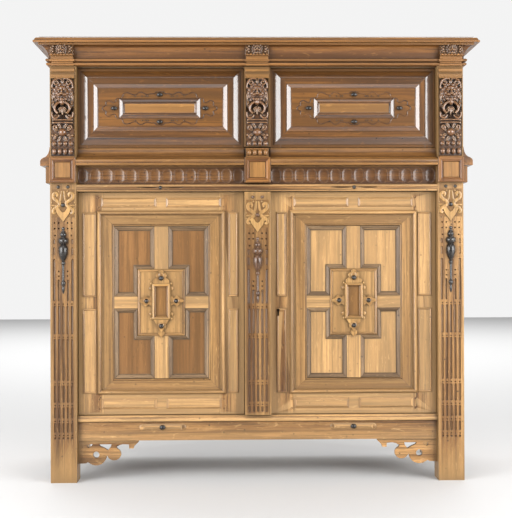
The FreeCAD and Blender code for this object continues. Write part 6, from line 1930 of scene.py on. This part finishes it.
def backdrop():
    """Soft grey light; seen directly or in polish it is white behind the cupboard and grey before it."""
    world = bpy.data.worlds.new("studio")
    bpy.context.scene.world = world
    world.use_nodes = True
    tree = world.node_tree
    tree.nodes.clear()
    out = tree.nodes.new("ShaderNodeOutputWorld")
    mix = tree.nodes.new("ShaderNodeMixShader")
    rays = tree.nodes.new("ShaderNodeLightPath")
    soft = tree.nodes.new("ShaderNodeBackground")
    soft.inputs["Color"].default_value = SOFT_GREY
    soft.inputs["Strength"].default_value = SOFT_STRENGTH
    shown = tree.nodes.new("ShaderNodeBackground")
    parts = tree.nodes.new("ShaderNodeSeparateXYZ")
    put(tree, parts.inputs[0], tree.nodes.new("ShaderNodeTexCoord").outputs["Generated"])
    put(tree, shown.inputs["Color"], mask(tree, parts.outputs["Y"], "backdrop"))
    seen = sums(tree, "MAXIMUM", rays.outputs["Is Camera Ray"], rays.outputs["Is Glossy Ray"])
    for socket, source in zip(mix.inputs, (seen, soft.outputs[0], shown.outputs[0])):
        put(tree, socket, source)
    put(tree, out.inputs["Surface"], mix.outputs[0])


class CUPBOARD_OT_front_posts(bpy.types.Operator):
    """Square fluted posts with fretted scrolls"""
    bl_idname = "cupboard.front_posts"
    bl_label = "Front posts"

    def execute(self, context):
        front_posts()
        return {"FINISHED"}


class CUPBOARD_OT_centre_pilaster(bpy.types.Operator):
    """Fluted strip on the right lower door, with its scroll and drop"""
    bl_idname = "cupboard.centre_pilaster"
    bl_label = "Centre pilaster"

    def execute(self, context):
        centre_pilaster()
        return {"FINISHED"}


class CUPBOARD_OT_top_slab(bpy.types.Operator):
    """Moulded top boards"""
    bl_idname = "cupboard.top_slab"
    bl_label = "Top slab"

    def execute(self, context):
        moulded_slab()
        return {"FINISHED"}


class CUPBOARD_OT_cornice(bpy.types.Operator):
    """Frieze and mouldings under the top on three sides"""
    bl_idname = "cupboard.cornice"
    bl_label = "Cornice"

    def execute(self, context):
        cornice_front()
        return {"FINISHED"}


class CUPBOARD_OT_consoles(bpy.types.Operator):
    """Small masks on blocks in the frieze, with their capitals"""
    bl_idname = "cupboard.consoles"
    bl_label = "Mask consoles"

    def execute(self, context):
        consoles()
        return {"FINISHED"}


class CUPBOARD_OT_upper_pilasters(bpy.types.Operator):
    """Carved masks, fruit and leaves beside the upper doors"""
    bl_idname = "cupboard.upper_pilasters"
    bl_label = "Upper pilasters"

    def execute(self, context):
        upper_pilasters()
        return {"FINISHED"}


class CUPBOARD_OT_waist(bpy.types.Operator):
    """Ledge, blocks and fluted band between the two stages"""
    bl_idname = "cupboard.waist"
    bl_label = "Waist"

    def execute(self, context):
        waist_ledge()
        waist_block_set()
        fluted_band()
        return {"FINISHED"}


class CUPBOARD_OT_rails(bpy.types.Operator):
    """Mid rail and base rail with their tablets, drops and bosses"""
    bl_idname = "cupboard.rails"
    bl_label = "Rails and ebony"

    def execute(self, context):
        bosses = mid_rail_piece()
        base_rail_piece(bosses)
        ebony_on_carcase(bosses)
        return {"FINISHED"}


class CUPBOARD_OT_brackets(bpy.types.Operator):
    """Fretted brackets under the base rail"""
    bl_idname = "cupboard.brackets"
    bl_label = "Brackets"

    def execute(self, context):
        spandrels()
        return {"FINISHED"}


class CUPBOARD_OT_lower_doors(bpy.types.Operator):
    """Joined doors with a moulded field, cross and cartouche"""
    bl_idname = "cupboard.lower_doors"
    bl_label = "Lower doors"

    def execute(self, context):
        for side, hand in SIDES:
            lower_door(side, hand)
        return {"FINISHED"}


class CUPBOARD_OT_upper_doors(bpy.types.Operator):
    """Joined doors with a stepped cushion panel and a framed tablet"""
    bl_idname = "cupboard.upper_doors"
    bl_label = "Upper doors"

    def execute(self, context):
        for side, hand in SIDES:
            upper_door(side, hand)
        return {"FINISHED"}


class CUPBOARD_OT_sides(bpy.types.Operator):
    """Framed and panelled sides"""
    bl_idname = "cupboard.sides"
    bl_label = "Sides and rear posts"

    def execute(self, context):
        side_joinery()
        return {"FINISHED"}


class CUPBOARD_OT_inner_parts(bpy.types.Operator):
    """Materials of the hidden boards, pivots, lock and bolts"""
    bl_idname = "cupboard.inner_parts"
    bl_label = "Inner boards and iron"

    def execute(self, context):
        plain_nodes()
        return {"FINISHED"}


class CUPBOARD_OT_stage(bpy.types.Operator):
    """Floor, lamps, backdrop and camera"""
    bl_idname = "cupboard.stage"
    bl_label = "Studio"

    def execute(self, context):
        studio()
        photo_camera()
        context.scene.view_settings.view_transform = "Standard"
        return {"FINISHED"}


PIECES = (
    CUPBOARD_OT_front_posts,
    CUPBOARD_OT_centre_pilaster,
    CUPBOARD_OT_top_slab,
    CUPBOARD_OT_cornice,
    CUPBOARD_OT_consoles,
    CUPBOARD_OT_upper_pilasters,
    CUPBOARD_OT_waist,
    CUPBOARD_OT_rails,
    CUPBOARD_OT_brackets,
    CUPBOARD_OT_lower_doors,
    CUPBOARD_OT_upper_doors,
    CUPBOARD_OT_sides,
    CUPBOARD_OT_inner_parts,
    CUPBOARD_OT_stage,
)


class CUPBOARD_PT_panel(bpy.types.Panel):
    """Lists the pieces in the order they are made, with their sizes and colours"""
    bl_idname = "CUPBOARD_PT_panel"
    bl_label = "Oak cupboard"
    bl_space_type = "VIEW_3D"
    bl_region_type = "UI"
    bl_category = "Cupboard"

    def draw(self, context):
        for piece in PIECES:
            self.layout.operator(piece.bl_idname)
        for group in (context.scene.cupboard_sizes, context.scene.cupboard_colours):
            box = self.layout.box()
            for name in type(group).__annotations__:
                box.prop(group, name)


CLASSES = (CupboardSizes, CupboardColours, *PIECES, CUPBOARD_PT_panel)


def register():
    for made in CLASSES:
        bpy.utils.register_class(made)
    bpy.types.Scene.cupboard_sizes = bpy.props.PointerProperty(type=CupboardSizes)
    bpy.types.Scene.cupboard_colours = bpy.props.PointerProperty(type=CupboardColours)


def unregister():
    del bpy.types.Scene.cupboard_colours
    del bpy.types.Scene.cupboard_sizes
    for made in reversed(CLASSES):
        bpy.utils.unregister_class(made)


def main():
    register()
    for piece in PIECES:
        family, name = piece.bl_idname.split(".")
        getattr(getattr(bpy.ops, family), name)()


if __name__ == "__main__":
    main()
